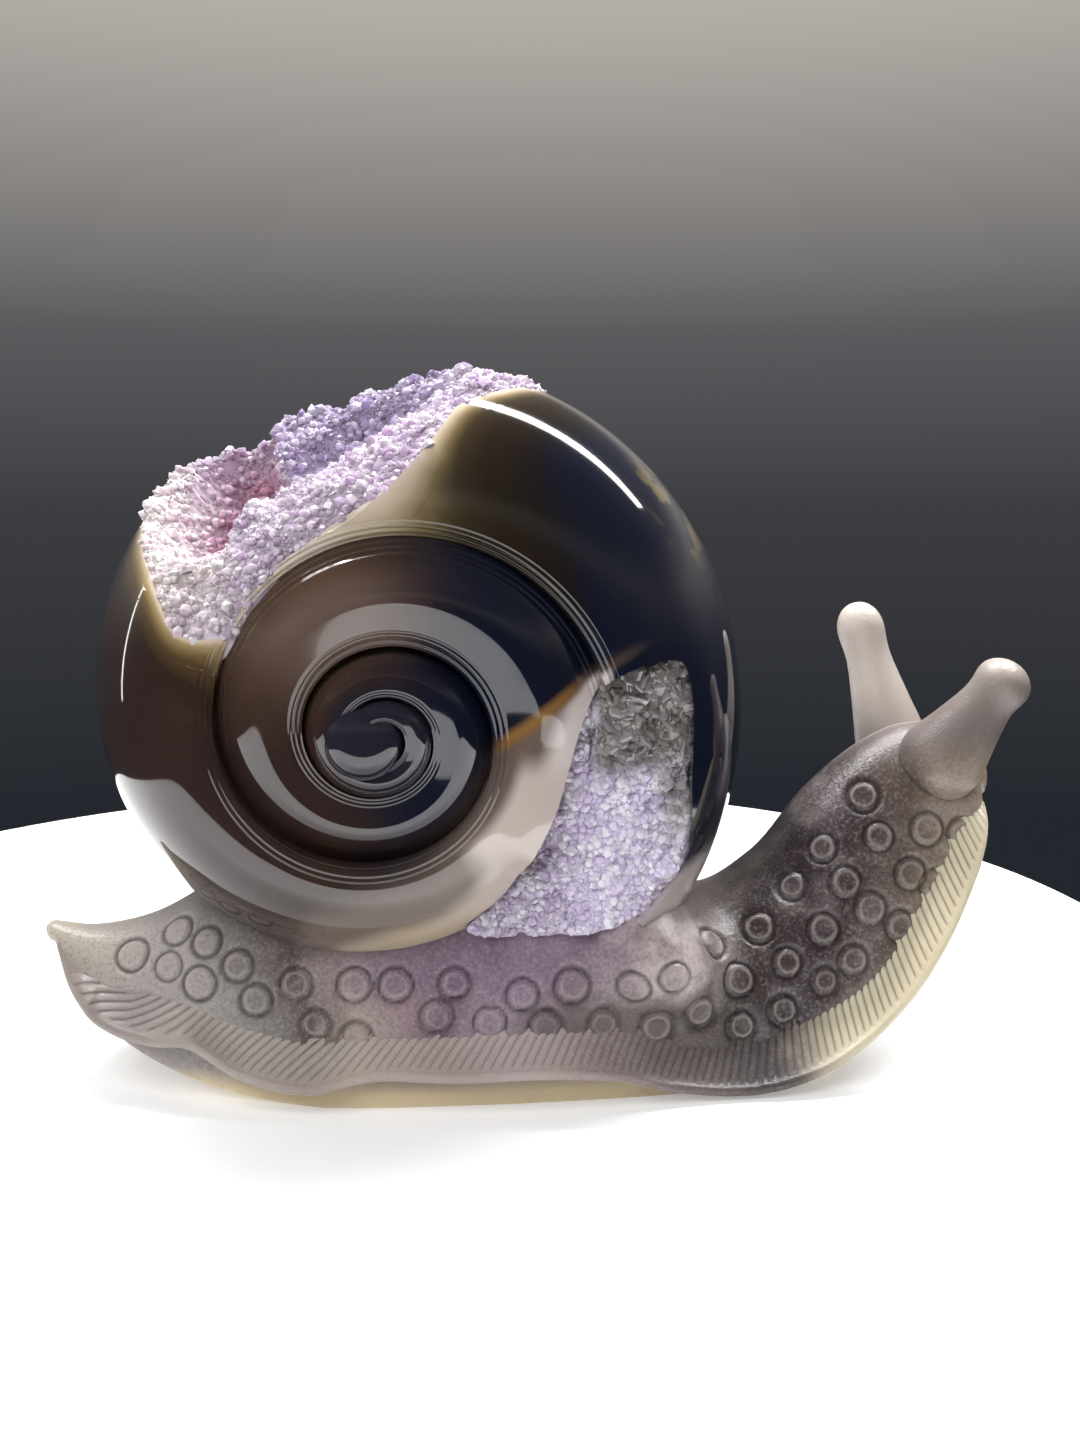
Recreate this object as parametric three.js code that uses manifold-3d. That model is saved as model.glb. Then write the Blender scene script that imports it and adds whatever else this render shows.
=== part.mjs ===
// A snail carved from one block of agate geode: a coiled polished shell, amethyst hollows, a frosted body.
// Millimetres. +X points to the head, +Y away from the shell mouth, +Z up. The sole rests on Z = 0.
import * as THREE from "three";
import { mergeVertices } from "three/addons/utils/BufferGeometryUtils.js";
import Module from "manifold-3d";

// Main sizes: the body from tail tip to chest, and the last whorl across both faces of the shell.
const BODY_LENGTH = 151.5;
const SHELL_WIDTH = 54;

// Line left between neighbouring zones of the stone.
const GAP = 0.3;
// Finest step of a surface that is kept.
const SLIVER = 0.04;

// Coil of the shell. Angles are in degrees from +X towards +Z, and grow inwards along the coil.
const COIL_X = -26.5;
const COIL_Z = 58;
const MOUTH_RADIUS = 34;
const LAST_TURN_GROWTH = 0.62;
const INNER_TURN_GROWTH = 0.76;
const FLARE_START = 75;
const FLARE_SOFTNESS = 28;
const RIM_FLAT = 2.6;
const RIM_FLAT_START = [70, 125];
const RIM_FLAT_END = [215, 300];
const SPIRE_RISE = 1.4;
const SPIRE_LEAN = 11;
const BODY_CREST = 0.1;
const SPIRE_CREST = 0.42;
const EDGE_DROP = 0.7;
const RIM_DROP = 0.3;
const LIP_END = -38;
const LIP_TOP = 15;
const INNER_END = 1150;
const KNOB_RADIUS = 6.2;
const KNOB_RISE = 1.2;
const KNOB_OFFSET = 2.4;

// Crown of the shell: a shallow scoop cut through the geode, which bares its crystal lining.
const CROWN_ANGLE = 120;
const CROWN_TILT = 25;
const CROWN_RADIUS = 40.5;
const CROWN_SIDE = 3;
const SCOOP = { along: 23, across: 0, rise: 22, length: 33, width: 90, depth: 25, turn: -40 };
const TONGUE = { along: -13, across: -30, rise: 4, length: 9, width: 14, depth: 11, turn: 0 };
const HOLLOW = { along: 0, across: 0, rise: 0, length: 8, width: 18, depth: 10, turn: -22 };
const VALLEY = { along: 18, across: 0, rise: -1, length: 17, width: 8, depth: 5, turn: 20 };
const CROWN_DEPTH = 11;
const RIND_THICKNESS = 3;
const RIND_SKIN = 1.2;
const LEDGE_SINK = 1.2;

// Amethyst filling of the shell mouth, sunk below the face of the shell.
const MOUTH_SINK = 3;
const MOUTH_DEPTH = 12;
const MOUTH_TILT = 5;

// Crystal points of the druse.
const CRYSTAL_RADIUS = 5.2;
const CRYSTAL_HEIGHT = 2.5;
const CRYSTAL_SPACING = 8.6;
const CRYSTAL_SUNK = 0.8;

// Body.
const SKIRT_HEIGHT = 9;
const SKIRT_FLARE = 4.6;
const SKIRT_EDGE = 2.2;
const SKIRT_WAVE = 0.7;
const SKIRT_WAVES = 5.5;
const SKIRT_FLUTES = 36;
const FLUTE_DEPTH = 0.5;
const CHEST_BULGE = 4.5;
const TAIL_JOINT = 0.24;
const NECK_JOINT = 0.55;

// Tentacles.
const STALK_ROOT_RADIUS = 6.2;
const STALK_RADIUS = 3.7;
const BULB_RADIUS = 4.6;
const STALK_SEAT = 5.5;
const NEAR_REACH = [8.2, -5, 16];
const FAR_REACH = [-7.6, 4, 25.5];

const wasm = await Module();
wasm.setup();

const radians = THREE.MathUtils.degToRad;
const lerp = THREE.MathUtils.lerp;
const clamp = THREE.MathUtils.clamp;
const smoothstep = THREE.MathUtils.smoothstep;

// Repeatable scatter between 0 and 1.
function scatter(seed) {
  const wave = Math.sin(seed * 12.9898) * 43758.5453;
  return wave - Math.floor(wave);
}

// Closed solid of a geometry.
function solid(geometry) {
  const bare = new THREE.BufferGeometry();
  bare.setAttribute("position", geometry.getAttribute("position"));
  bare.setIndex(geometry.getIndex());
  const merged = mergeVertices(bare, 1e-4);
  const made = new wasm.Manifold(
    new wasm.Mesh({
      numProp: 3,
      vertProperties: new Float32Array(merged.attributes.position.array),
      triVerts: new Uint32Array(merged.index.array),
    }),
  );
  return made;
}

// Geometry of a closed solid, with flat faces.
function geometryOf(made) {
  const mesh = made.getMesh();
  const geometry = new THREE.BufferGeometry();
  geometry.setAttribute("position", new THREE.BufferAttribute(new Float32Array(mesh.vertProperties), 3));
  geometry.setIndex(new THREE.BufferAttribute(new Uint32Array(mesh.triVerts), 1));
  const flat = geometry.toNonIndexed();
  flat.computeVertexNormals();
  return flat;
}

// Skin over closed rings of equal length, with a cap at each end.
function loft(rings) {
  const count = rings[0].length;
  const points = rings.flat();
  const middles = [rings[0], rings.at(-1)].map((ring) => {
    const middle = new THREE.Vector3();
    ring.forEach((p) => middle.addScaledVector(p, 1 / count));
    return middle;
  });
  const faces = [];
  for (let i = 0; i + 1 < rings.length; i += 1) {
    for (let j = 0; j < count; j += 1) {
      const a = i * count + j;
      const b = i * count + ((j + 1) % count);
      faces.push([a, b, b + count], [a, b + count, a + count]);
    }
  }
  const last = (rings.length - 1) * count;
  for (let j = 0; j < count; j += 1) {
    const next = (j + 1) % count;
    faces.push([points.length, next, j], [points.length + 1, last + j, last + next]);
  }
  const corners = [...points, ...middles];
  let volume = 0;
  faces.forEach(([a, b, c]) => {
    volume += corners[a].dot(new THREE.Vector3().crossVectors(corners[b], corners[c]));
  });
  if (volume < 0) faces.forEach((face) => face.reverse());
  const geometry = new THREE.BufferGeometry();
  const places = corners.flatMap((p) => [p.x, p.y, p.z]);
  geometry.setAttribute("position", new THREE.Float32BufferAttribute(places, 3));
  geometry.setIndex(faces.flat());
  return solid(geometry);
}

// Radius of the coil line: the rim of the last turn, and the sutures of the turns inside it.
function coilRadius(degrees) {
  if (degrees >= 360) return MOUTH_RADIUS * Math.exp((-INNER_TURN_GROWTH * (degrees - 360)) / 360);
  let eased = degrees;
  if (degrees < FLARE_START) {
    eased = FLARE_START - FLARE_SOFTNESS * Math.tanh((FLARE_START - degrees) / FLARE_SOFTNESS);
  }
  const flat = RIM_FLAT * (smoothstep(degrees, ...RIM_FLAT_START) - smoothstep(degrees, ...RIM_FLAT_END));
  return MOUTH_RADIUS * Math.exp((LAST_TURN_GROWTH * (360 - eased)) / 360) - flat;
}

// Share of the spire in a whorl: none in the last turn, all in the turns inside it.
function spireShare(degrees) {
  return smoothstep(degrees, 345 + LIP_TOP, 385 + LIP_TOP);
}

// Height of a whorl's crest over the middle plane of the shell. The spire leans down to the foot.
function crestHeight(degrees, radius) {
  const lean = spireShare(degrees) * Math.tan(radians(SPIRE_LEAN)) * Math.sin(radians(degrees));
  return SHELL_WIDTH / 2 + (SPIRE_RISE * Math.max(0, degrees)) / 360 + lean * radius;
}

function crestRadius(degrees, inner, outer) {
  return lerp(inner, outer, lerp(BODY_CREST, SPIRE_CREST, spireShare(degrees)));
}

// Height of a whorl's inner edge.
function edgeHeight(degrees) {
  return crestHeight(degrees, coilRadius(degrees + 360)) - EDGE_DROP;
}

// Height of a whorl's outer side, down in the suture.
function rimHeight(degrees) {
  const inner = coilRadius(degrees + 360);
  const outer = coilRadius(degrees);
  const top = crestHeight(degrees, crestRadius(degrees, inner, outer));
  return Math.min(edgeHeight(degrees - 360) - GAP, top - RIM_DROP * (outer - inner));
}

function coilPoint(degrees, radius, side) {
  const turn = radians(degrees);
  return new THREE.Vector3(COIL_X + radius * Math.cos(turn), side, COIL_Z + radius * Math.sin(turn));
}

// Rounded profile of a whorl from its inner to its outer suture, as radius and height pairs.
function whorlProfile(degrees, inner, outer, grow, steps) {
  const crest = crestRadius(degrees, inner, outer);
  const top = crestHeight(degrees, crest) + grow;
  const low = Math.min(edgeHeight(degrees) + grow, top - 0.2);
  const covered = clamp((degrees - (LIP_END + 350)) / 8, 0, 1);
  const rim = lerp(0.8, rimHeight(degrees) + grow, covered);
  const profile = [];
  for (let i = 0; i < 2; i += 1) {
    const turn = (i / 2) * (Math.PI / 2);
    profile.push([crest - (crest - inner) * Math.cos(turn), low + (top - low) * Math.sin(turn)]);
  }
  for (let i = 0; i <= steps; i += 1) {
    const turn = (i / steps) * (Math.PI / 2);
    profile.push([crest + (outer - crest) * Math.sin(turn), rim + (top - rim) * Math.cos(turn)]);
  }
  return profile;
}

// Band of the coil between two angles, rounded on both faces of the shell.
function whorl(from, to, options) {
  const { grow = 0, inward = 0, core = false, rings, steps } = options;
  const sections = [];
  for (let i = 0; i <= rings; i += 1) {
    const degrees = lerp(from, to, i / rings);
    const inner = coilRadius(degrees + 360) + GAP / 2 - inward;
    const outer = coilRadius(degrees) - GAP / 2 + grow;
    const profile = whorlProfile(degrees, inner, outer, grow, steps);
    if (core) profile.unshift([0.5, profile[0][1]]);
    const near = profile.map(([radius, height]) => coilPoint(degrees, radius, -height));
    const far = profile.map(([radius, height]) => coilPoint(degrees, radius, height));
    sections.push([...near, ...far.reverse()]);
  }
  return loft(sections);
}

// The largest body of a shape, with no sealed hollows and no slivers.
function mainBody(shape) {
  const bodies = shape.simplify(SLIVER).decompose();
  return bodies.reduce((kept, body) => (body.volume() > kept.volume() ? body : kept));
}

// Six-sided crystal point standing on a spot.
function crystal(spot, direction, radius, height, turn) {
  const point = new THREE.ConeGeometry(radius, height, 6);
  point.rotateY(turn);
  point.translate(0, height / 2 - CRYSTAL_SUNK, 0);
  const lean = new THREE.Quaternion().setFromUnitVectors(new THREE.Vector3(0, 1, 0), direction);
  point.applyQuaternion(lean);
  point.translate(spot.x, spot.y, spot.z);
  return solid(point);
}

// Crown: its frame has X along the coil, Y across the shell and Z out of the stone.
const crownTurn = radians(CROWN_ANGLE);
const crownLean = radians(CROWN_TILT);
const crownOut = new THREE.Vector3(
  Math.cos(crownTurn) * Math.cos(crownLean),
  -Math.sin(crownLean),
  Math.sin(crownTurn) * Math.cos(crownLean),
);
const crownAlong = new THREE.Vector3(Math.sin(crownTurn), 0, -Math.cos(crownTurn));
const crownAcross = new THREE.Vector3().crossVectors(crownOut, crownAlong);
const crownMiddle = coilPoint(CROWN_ANGLE, CROWN_RADIUS, -CROWN_SIDE);
const crownFrame = new THREE.Matrix4();
crownFrame.makeBasis(crownAlong, crownAcross, crownOut).setPosition(crownMiddle);

// Ellipsoid of the crown, grown on all sides.
function crownBall({ along, across, rise, length, width, depth, turn }, grow) {
  const ball = new THREE.SphereGeometry(1, 20, 10);
  ball.rotateX(Math.PI / 2).scale(length + grow, width + grow, depth + grow).rotateZ(radians(turn));
  return solid(ball.translate(along, across, rise).applyMatrix4(crownFrame));
}

// Height of an ellipsoid's underside over a place of the crown.
function ballFloor({ along, across, rise, length, width, depth, turn }, grow, x, y) {
  const spot = new THREE.Vector2(x - along, y - across).rotateAround(new THREE.Vector2(), -radians(turn));
  spot.divide(new THREE.Vector2(length + grow, width + grow));
  const share = 1 - spot.lengthSq();
  return share > 0 ? rise - (depth + grow) * Math.sqrt(share) : Infinity;
}

// Height of the crystal lining over a place of the crown.
const groundHeight = (x, y) =>
  Math.min(
    ballFloor(SCOOP, LEDGE_SINK, x, y),
    ballFloor(TONGUE, LEDGE_SINK, x, y),
    ballFloor(HOLLOW, 0, x, y),
    ballFloor(VALLEY, 0, x, y),
  );

// Outline of the crystal lining, in the crown's frame.
const liningCorners = [
  [48, -3],
  [41, -13],
  [34, -18.5],
  [24, -26],
  [14, -34],
  [-4, -37],
  [-14, -36],
  [-18, -28],
  [-18, -9],
  [-16, 14],
  [-8, 23],
  [15, 22],
  [34, 15],
  [47, 5],
];
const liningMiddle = new THREE.Vector3(14, -6, 0);
const liningReach = 42;

// Stone under the outline of the lining, widened, from a floor up.
function crownPrism(widen, floor) {
  const spots = liningCorners.map(([x, y]) => {
    const spot = new THREE.Vector3(x, y, 0);
    return spot.addScaledVector(spot.clone().sub(liningMiddle).normalize(), widen);
  });
  const outline = new THREE.CatmullRomCurve3(spots, true, "centripetal").getPoints(42).slice(0, 42);
  const ring = (height) => outline.map((p) => new THREE.Vector3(p.x, p.y, height).applyMatrix4(crownFrame));
  return loft([ring(floor), ring(2 * SCOOP.depth)]);
}

// The stone taken away, by a scoop that may be sunk below the cut.
const crownScoop = (sink) => crownBall(SCOOP, sink).add(crownBall(TONGUE, sink));

const crownStart = CROWN_ANGLE - 70;
const crownStop = CROWN_ANGLE + 66;
const crownBand = (style) => whorl(crownStart, crownStop, { rings: 16, steps: 4, ...style });
const crownBowl = crownBand()
  .subtract(crownScoop(0))
  .intersect(crownPrism(RIND_THICKNESS, -CROWN_DEPTH - RIND_THICKNESS));
const crownCavity = crownBand({ grow: -RIND_SKIN, inward: GAP }).intersect(crownPrism(0, -CROWN_DEPTH));
const crownRind = mainBody(crownBowl.subtract(crownCavity));
const crownLining = crownBand({ grow: -RIND_SKIN - GAP }).intersect(crownPrism(-GAP, -CROWN_DEPTH + GAP));
const crownPits = crownBall(HOLLOW, 0).add(crownBall(VALLEY, 0));
const crownCrust = crownLining.subtract(crownScoop(LEDGE_SINK)).subtract(crownPits);

// Crystal points over the lining, in staggered rows.
function crownCrystals() {
  const points = [];
  const rows = Math.ceil(liningReach / CRYSTAL_SPACING);
  const step = 0.5;
  for (let row = -rows; row <= rows; row += 1) {
    for (let column = -rows; column <= rows; column += 1) {
      const seed = 7 * row + 61 * column + 500;
      const x = liningMiddle.x + (column + 0.5 * (row % 2) + 0.4 * (scatter(seed) - 0.5)) * CRYSTAL_SPACING;
      const y = liningMiddle.y + (row + 0.4 * (scatter(seed + 0.1) - 0.5)) * 0.87 * CRYSTAL_SPACING;
      const height = groundHeight(x, y);
      const slopes = [groundHeight(x + step, y) - height, groundHeight(x, y + step) - height];
      if (!slopes.every((slope) => Math.abs(slope) < 2 * step)) continue;
      const size = lerp(0.75, 1.15, scatter(seed + 0.2));
      const axis = new THREE.Vector3(-slopes[0] / step, -slopes[1] / step, 1).normalize();
      axis.x += 0.5 * (scatter(seed + 0.3) - 0.5);
      axis.y += 0.5 * (scatter(seed + 0.5) - 0.5);
      const spot = new THREE.Vector3(x, y, height).applyMatrix4(crownFrame);
      const turn = 6 * scatter(seed + 0.9);
      axis.transformDirection(crownFrame);
      points.push(crystal(spot, axis, CRYSTAL_RADIUS * size, CRYSTAL_HEIGHT * size, turn));
    }
  }
  return points.filter((point) => point.intersect(crownCrust).volume() > 0.5);
}

const crownRoom = crownBand({ grow: LEDGE_SINK })
  .intersect(crownPrism(-GAP, -CROWN_DEPTH))
  .intersect(crownLining.add(crownScoop(0)));
const crownDruse = mainBody(wasm.Manifold.union([crownCrust, ...crownCrystals()]).intersect(crownRoom));

// Mouth: outline of the filling in the plane of the shell, in coil angles and shares of the rim radius.
const mouthCorners = [
  [12, 0.57],
  [13, 0.77],
  [8, 0.79],
  [-10, 0.8],
  [-24, 0.86],
  [-38, 0.83],
  [-51, 0.71],
  [-68, 0.57],
  [-55, 0.53],
  [-29, 0.48],
];
// The cream lip widens the outline along its inner side, towards the foot.
const lipCorners = [
  [-98, 0.6],
  [-64, 0.43],
  [-31, 0.41],
];
const mouthCentre = coilPoint(-20, 0.66 * coilRadius(-20), 0);
const mouthSlope = Math.tan(radians(MOUTH_TILT));
const mouthFace = SHELL_WIDTH / 2 - MOUTH_SINK;
const mouthFloor = mouthFace - MOUTH_DEPTH;

function mouthPrism(corners, widen, floor, face) {
  const spots = corners.map(([degrees, share]) => {
    const spot = coilPoint(degrees, share * coilRadius(degrees), 0);
    const away = spot.clone().sub(mouthCentre).normalize();
    return spot.addScaledVector(away, widen);
  });
  const outline = new THREE.CatmullRomCurve3(spots, true, "centripetal").getPoints(36).slice(0, 36);
  const ring = (depth) =>
    outline.map((p) => new THREE.Vector3(p.x, -depth - (p.z - COIL_Z) * mouthSlope, p.z));
  return loft([ring(floor), ring(face)]);
}

const lippedCorners = [...mouthCorners.slice(0, -lipCorners.length), ...lipCorners];
const openFace = SHELL_WIDTH * 1.5;
const mouthSeat = mouthPrism(lippedCorners, GAP, mouthFloor - GAP, openFace);
const mouthCrust = mouthPrism(mouthCorners, 0, mouthFloor, mouthFace);

function mouthCrystals() {
  const points = [];
  for (let i = 0; i < 44; i += 1) {
    const reach = 0.56 * CRYSTAL_SPACING * Math.sqrt(i + 0.3);
    const spin = i * 2.39996;
    const x = mouthCentre.x + reach * Math.cos(spin);
    const z = mouthCentre.z + reach * Math.sin(spin);
    const spot = new THREE.Vector3(x, -mouthFace - (z - COIL_Z) * mouthSlope, z);
    const size = lerp(0.7, 1, scatter(i + 40));
    const lean = new THREE.Vector3(scatter(i + 0.2) - 0.5, -1.6, scatter(i + 0.4) - 0.5).normalize();
    points.push(crystal(spot, lean, CRYSTAL_RADIUS * size, CRYSTAL_HEIGHT * size, scatter(i + 0.6) * 6));
  }
  return points;
}

const mouthBounds = mouthPrism(mouthCorners, 0, mouthFloor, mouthFace + 2 * CRYSTAL_HEIGHT);
const seated = mouthCrystals().filter((point) => point.intersect(mouthCrust).volume() > 0.5);
const mouthDruse = mainBody(wasm.Manifold.union([mouthCrust, ...seated]).intersect(mouthBounds));

// Shell.
const lipTurn = 360 + LIP_TOP;
const seam = (GAP / 2 / MOUTH_RADIUS) * (180 / Math.PI);
const knobAngle = 180;
const knobCentre = coilPoint(knobAngle, KNOB_OFFSET, 0);

const lastWhorl = whorl(LIP_END, lipTurn - seam, { rings: 56, steps: 5 });
const lipWhorl = whorl(lipTurn - 128, lipTurn - seam, { rings: 16, steps: 5 });
const crownSeat = crownPrism(RIND_THICKNESS + GAP, -CROWN_DEPTH - RIND_THICKNESS - GAP).add(crownScoop(0));
const bodyWhorl = mainBody(lastWhorl.subtract(crownSeat).subtract(mouthSeat));
const mouthLip = lipWhorl
  .intersect(mouthPrism(lippedCorners, 0, mouthFloor, openFace))
  .subtract(mouthPrism(mouthCorners, GAP, 0, openFace * 2));
const secondWhorl = whorl(lipTurn + seam, lipTurn + 360 - 2 * seam, { rings: 34, steps: 4 });

const knobTop = crestHeight(INNER_END, 0) + KNOB_RISE;
const knobProfile = [new THREE.Vector2(0, -knobTop)];
for (let i = 1; i <= 4; i += 1) {
  const turn = (i / 4) * (Math.PI / 2);
  knobProfile.push(new THREE.Vector2(KNOB_RADIUS * Math.sin(turn), -knobTop + 5 - 5 * Math.cos(turn)));
}
knobProfile.push(...knobProfile.slice().reverse().map((p) => new THREE.Vector2(p.x, -p.y)));

function knobShape(grow) {
  const profile = knobProfile.map((p) => {
    return new THREE.Vector2(p.x > 0 ? p.x + grow : 0, p.y + Math.sign(p.y) * grow);
  });
  const knob = new THREE.LatheGeometry(profile, 16);
  knob.translate(knobCentre.x, 0, knobCentre.z);
  return solid(knob);
}

const innerBand = whorl(lipTurn + 360 + 2 * seam, INNER_END, { rings: 25, steps: 4 });
const innerWhorl = innerBand.subtract(knobShape(GAP));
const apexKnob = knobShape(0);

// Room the shell takes out of the body.
const hullStyle = { grow: GAP * 2, core: true, rings: 26, steps: 4 };
const mouthHalf = whorl(LIP_END - 2 * seam, LIP_END + 200, hullStyle);
const shellHull = mouthHalf.add(whorl(LIP_END + 190, LIP_END + 361, hullStyle));

// Body: lower line with half width, upper line and height of the frill's hem, from tail tip to brow.
const drawnLength = 151.5;
const stretch = BODY_LENGTH / drawnLength;
const lowerLine = new THREE.CatmullRomCurve3(
  [
    [-79, 2.5, 22],
    [-75, 6, 15],
    [-67, 11, 8],
    [-54, 16, 2.5],
    [-36, 21, 0],
    [-12, 22.5, 0],
    [12, 22, 0],
    [30, 20.5, 0],
    [44, 18.5, 2.5],
    [54, 16.5, 10],
    [61, 14.5, 20],
    [67, 12.5, 30],
    [71, 10, 39],
    [72, 6, 46],
  ].map(([x, half, z]) => new THREE.Vector3(x * stretch, half, z)),
);
const upperLine = new THREE.CatmullRomCurve3(
  [
    [-79.5, 24.5],
    [-73, 23.5],
    [-64, 25],
    [-54, 30],
    [-34, 38],
    [-10, 42],
    [10, 38],
    [26, 28],
    [36, 32.5],
    [45, 42],
    [53, 48.5],
    [60, 53],
    [66, 54],
    [70, 51],
  ].map(([x, z]) => new THREE.Vector3(x * stretch, 0, z)),
);
const hemLine = new THREE.SplineCurve(
  [0.3, 0.6, 2.5, 5, 3.6, 4.6, 3.2, 1.4, 1, 0.5, 0.4, 0.3, 0.3, 0.3].map((z, i) => new THREE.Vector2(i, z)),
);

// Half outline of the body at a station: share of the way from the lower to the upper line, and half width.
function bodyFrame(station) {
  const low = lowerLine.getPoint(station);
  const high = upperLine.getPoint(station);
  const half = low.y;
  low.y = 0;
  low.z = Math.max(0, low.z);
  const raised = smoothstep(station, NECK_JOINT, 0.8);
  const squareness = lerp(2.6, 2.1, raised);
  return { low, rise: high.sub(low), half, bulge: CHEST_BULGE * raised, squareness };
}

function bodyWall(frame, share) {
  return frame.half * Math.pow(1 - Math.pow(share, frame.squareness), 1 / frame.squareness);
}

function bodyRing(station) {
  const frame = bodyFrame(station);
  const ring = [];
  const steps = 9;
  for (let i = 0; i < steps; i += 1) {
    const share = Math.sin((i / steps) * (Math.PI / 2));
    const spot = frame.low.clone().addScaledVector(frame.rise, share);
    spot.y = -bodyWall(frame, share);
    ring.push(spot);
  }
  const top = frame.low.clone().add(frame.rise);
  const mirrored = ring.map((p) => new THREE.Vector3(p.x, -p.y, p.z)).reverse();
  const out = frame.rise.clone().normalize().multiplyScalar(-frame.bulge);
  const chest = [0.5, 0, -0.5].map((across) => {
    const spot = frame.low.clone().addScaledVector(out, 1 - across * across);
    spot.y = frame.half * across;
    return spot;
  });
  return [...ring, top, ...mirrored, ...chest];
}

const bodyLength = lowerLine.getLength();

function stations(from, to, count) {
  return Array.from({ length: count + 1 }, (_, i) => lerp(from, to, i / count));
}

function bodySpan(along) {
  return loft(along.map(bodyRing)).subtract(shellHull).subtract(mouthSeat);
}

// Frill of the foot along one side: root on the body wall, fluted face and waved free edge.
function skirt(side) {
  const along = stations(0.02, 0.945, 2 * SKIRT_FLUTES);
  const rings = along.map((station, i) => {
    const frame = bodyFrame(station);
    const tall = frame.rise.length();
    const up = frame.rise.clone().normalize();
    const place = (height, out) => {
      const share = clamp(height / tall, 0, 1);
      const spot = frame.low.clone().addScaledVector(up, height);
      spot.y = side * (bodyWall(frame, share) + GAP + out);
      return spot;
    };
    const end = Math.min(1, Math.min(i, along.length - 1 - i) / 8 + 0.25);
    const wave = SKIRT_WAVE * Math.sin(station * SKIRT_WAVES * Math.PI * 2) * end;
    const flute = (i % 2) * FLUTE_DEPTH * end;
    const hem = Math.max(GAP, hemLine.getPoint(station).y);
    const root = hem + Math.min(SKIRT_HEIGHT, 0.45 * tall) * end;
    const flare = SKIRT_FLARE * end;
    return [
      place(root, 0),
      place(root - 0.4, 0.5),
      place(lerp(root, hem + SKIRT_EDGE, 0.55), flare * 0.42 - flute),
      place(hem + SKIRT_EDGE * 0.8 * end, flare * 0.92 + wave - flute * 0.5),
      place(hem, flare + wave),
      place(hem, 0),
    ];
  });
  return loft(rings);
}

const span = GAP / 2 / bodyLength;
const tailStations = stations(0, TAIL_JOINT - span, 12);
const footStations = stations(TAIL_JOINT + span, NECK_JOINT - span, 14);
const headStations = stations(NECK_JOINT + span, 1, 20);
const tail = bodySpan(tailStations);
const foot = bodySpan(footStations);
const nearSkirt = skirt(-1);
const farSkirt = skirt(1);

// Tentacle standing on the brow, from its root to its bulb.
function tentacle(root, tip, grow) {
  const length = root.distanceTo(tip);
  const outline = new THREE.SplineCurve(
    [
      [STALK_ROOT_RADIUS, 0],
      [STALK_ROOT_RADIUS * 0.86, length * 0.22],
      [STALK_RADIUS, length * 0.6],
      [STALK_RADIUS * 0.96, length * 0.72],
      [BULB_RADIUS, length * 0.9],
    ].map(([radius, height]) => new THREE.Vector2(radius, height)),
  );
  const profile = outline.getPoints(9);
  profile.unshift(new THREE.Vector2(0, 0));
  for (let i = 1; i <= 5; i += 1) {
    const turn = (i / 5) * (Math.PI / 2);
    const radius = i === 5 ? 0 : BULB_RADIUS * Math.cos(turn);
    profile.push(new THREE.Vector2(radius, length * 0.9 + BULB_RADIUS * Math.sin(turn)));
  }
  const grown = profile.map((p, i) => {
    return new THREE.Vector2(p.x > 0 ? p.x + grow : 0, i < 2 ? p.y - grow : p.y + grow);
  });
  const stalk = new THREE.LatheGeometry(grown, 14);
  const axis = tip.clone().sub(root).normalize();
  stalk.applyQuaternion(new THREE.Quaternion().setFromUnitVectors(new THREE.Vector3(0, 1, 0), axis));
  stalk.translate(root.x, root.y, root.z);
  return solid(stalk);
}

const brow = bodyFrame(0.88);
const browTop = brow.low.clone().add(brow.rise);
const browHalf = bodyWall(brow, 0.6);
const nearRoot = browTop.clone().add(new THREE.Vector3(0.5, -browHalf * 0.72, -STALK_SEAT));
const farRoot = browTop.clone().add(new THREE.Vector3(0.5, browHalf * 0.72, -STALK_SEAT));
const nearTip = nearRoot.clone().add(new THREE.Vector3(...NEAR_REACH));
const farTip = farRoot.clone().add(new THREE.Vector3(...FAR_REACH));

const head = bodySpan(headStations)
  .subtract(tentacle(nearRoot, nearTip, GAP))
  .subtract(tentacle(farRoot, farTip, GAP));

// Assembly.
function stone(color, roughness) {
  return new THREE.MeshStandardMaterial({ color, roughness, metalness: 0 });
}

const darkAgate = stone(0x1e1a1c, 0.12);
const creamAgate = stone(0xcdb184, 0.3);
const amethyst = stone(0x9079ad, 0.25);
const frostedAgate = stone(0x8d8183, 0.6);

function piece(name, made, material) {
  const mesh = new THREE.Mesh(geometryOf(made), material.clone());
  mesh.name = name;
  return mesh;
}

function group(name, ...members) {
  const made = new THREE.Group();
  made.name = name;
  made.add(...members);
  return made;
}

const snail = group(
  "agate_snail",
  group(
    "shell",
    piece("body_whorl", bodyWhorl, darkAgate),
    piece("second_whorl", secondWhorl, darkAgate),
    piece("inner_whorl", innerWhorl, darkAgate),
    piece("apex_knob", apexKnob, darkAgate),
    group("crown", piece("crown_rind", crownRind, creamAgate), piece("crown_druse", crownDruse, amethyst)),
    group("mouth", piece("mouth_lip", mouthLip, creamAgate), piece("mouth_druse", mouthDruse, amethyst)),
  ),
  group(
    "body",
    piece("tail", tail, frostedAgate),
    piece("foot", foot, frostedAgate),
    piece("head", head, frostedAgate),
    piece("near_skirt", nearSkirt, frostedAgate),
    piece("far_skirt", farSkirt, frostedAgate),
    piece("near_tentacle", tentacle(nearRoot, nearTip, 0), frostedAgate),
    piece("far_tentacle", tentacle(farRoot, farTip, 0), frostedAgate),
  ),
);

// Stand the snail on the middle of its footprint.
const extent = new THREE.Box3().setFromObject(snail);
const middle = extent.getCenter(new THREE.Vector3());
snail.children.forEach((part) => part.position.set(-middle.x, -middle.y, -extent.min.z));

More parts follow.
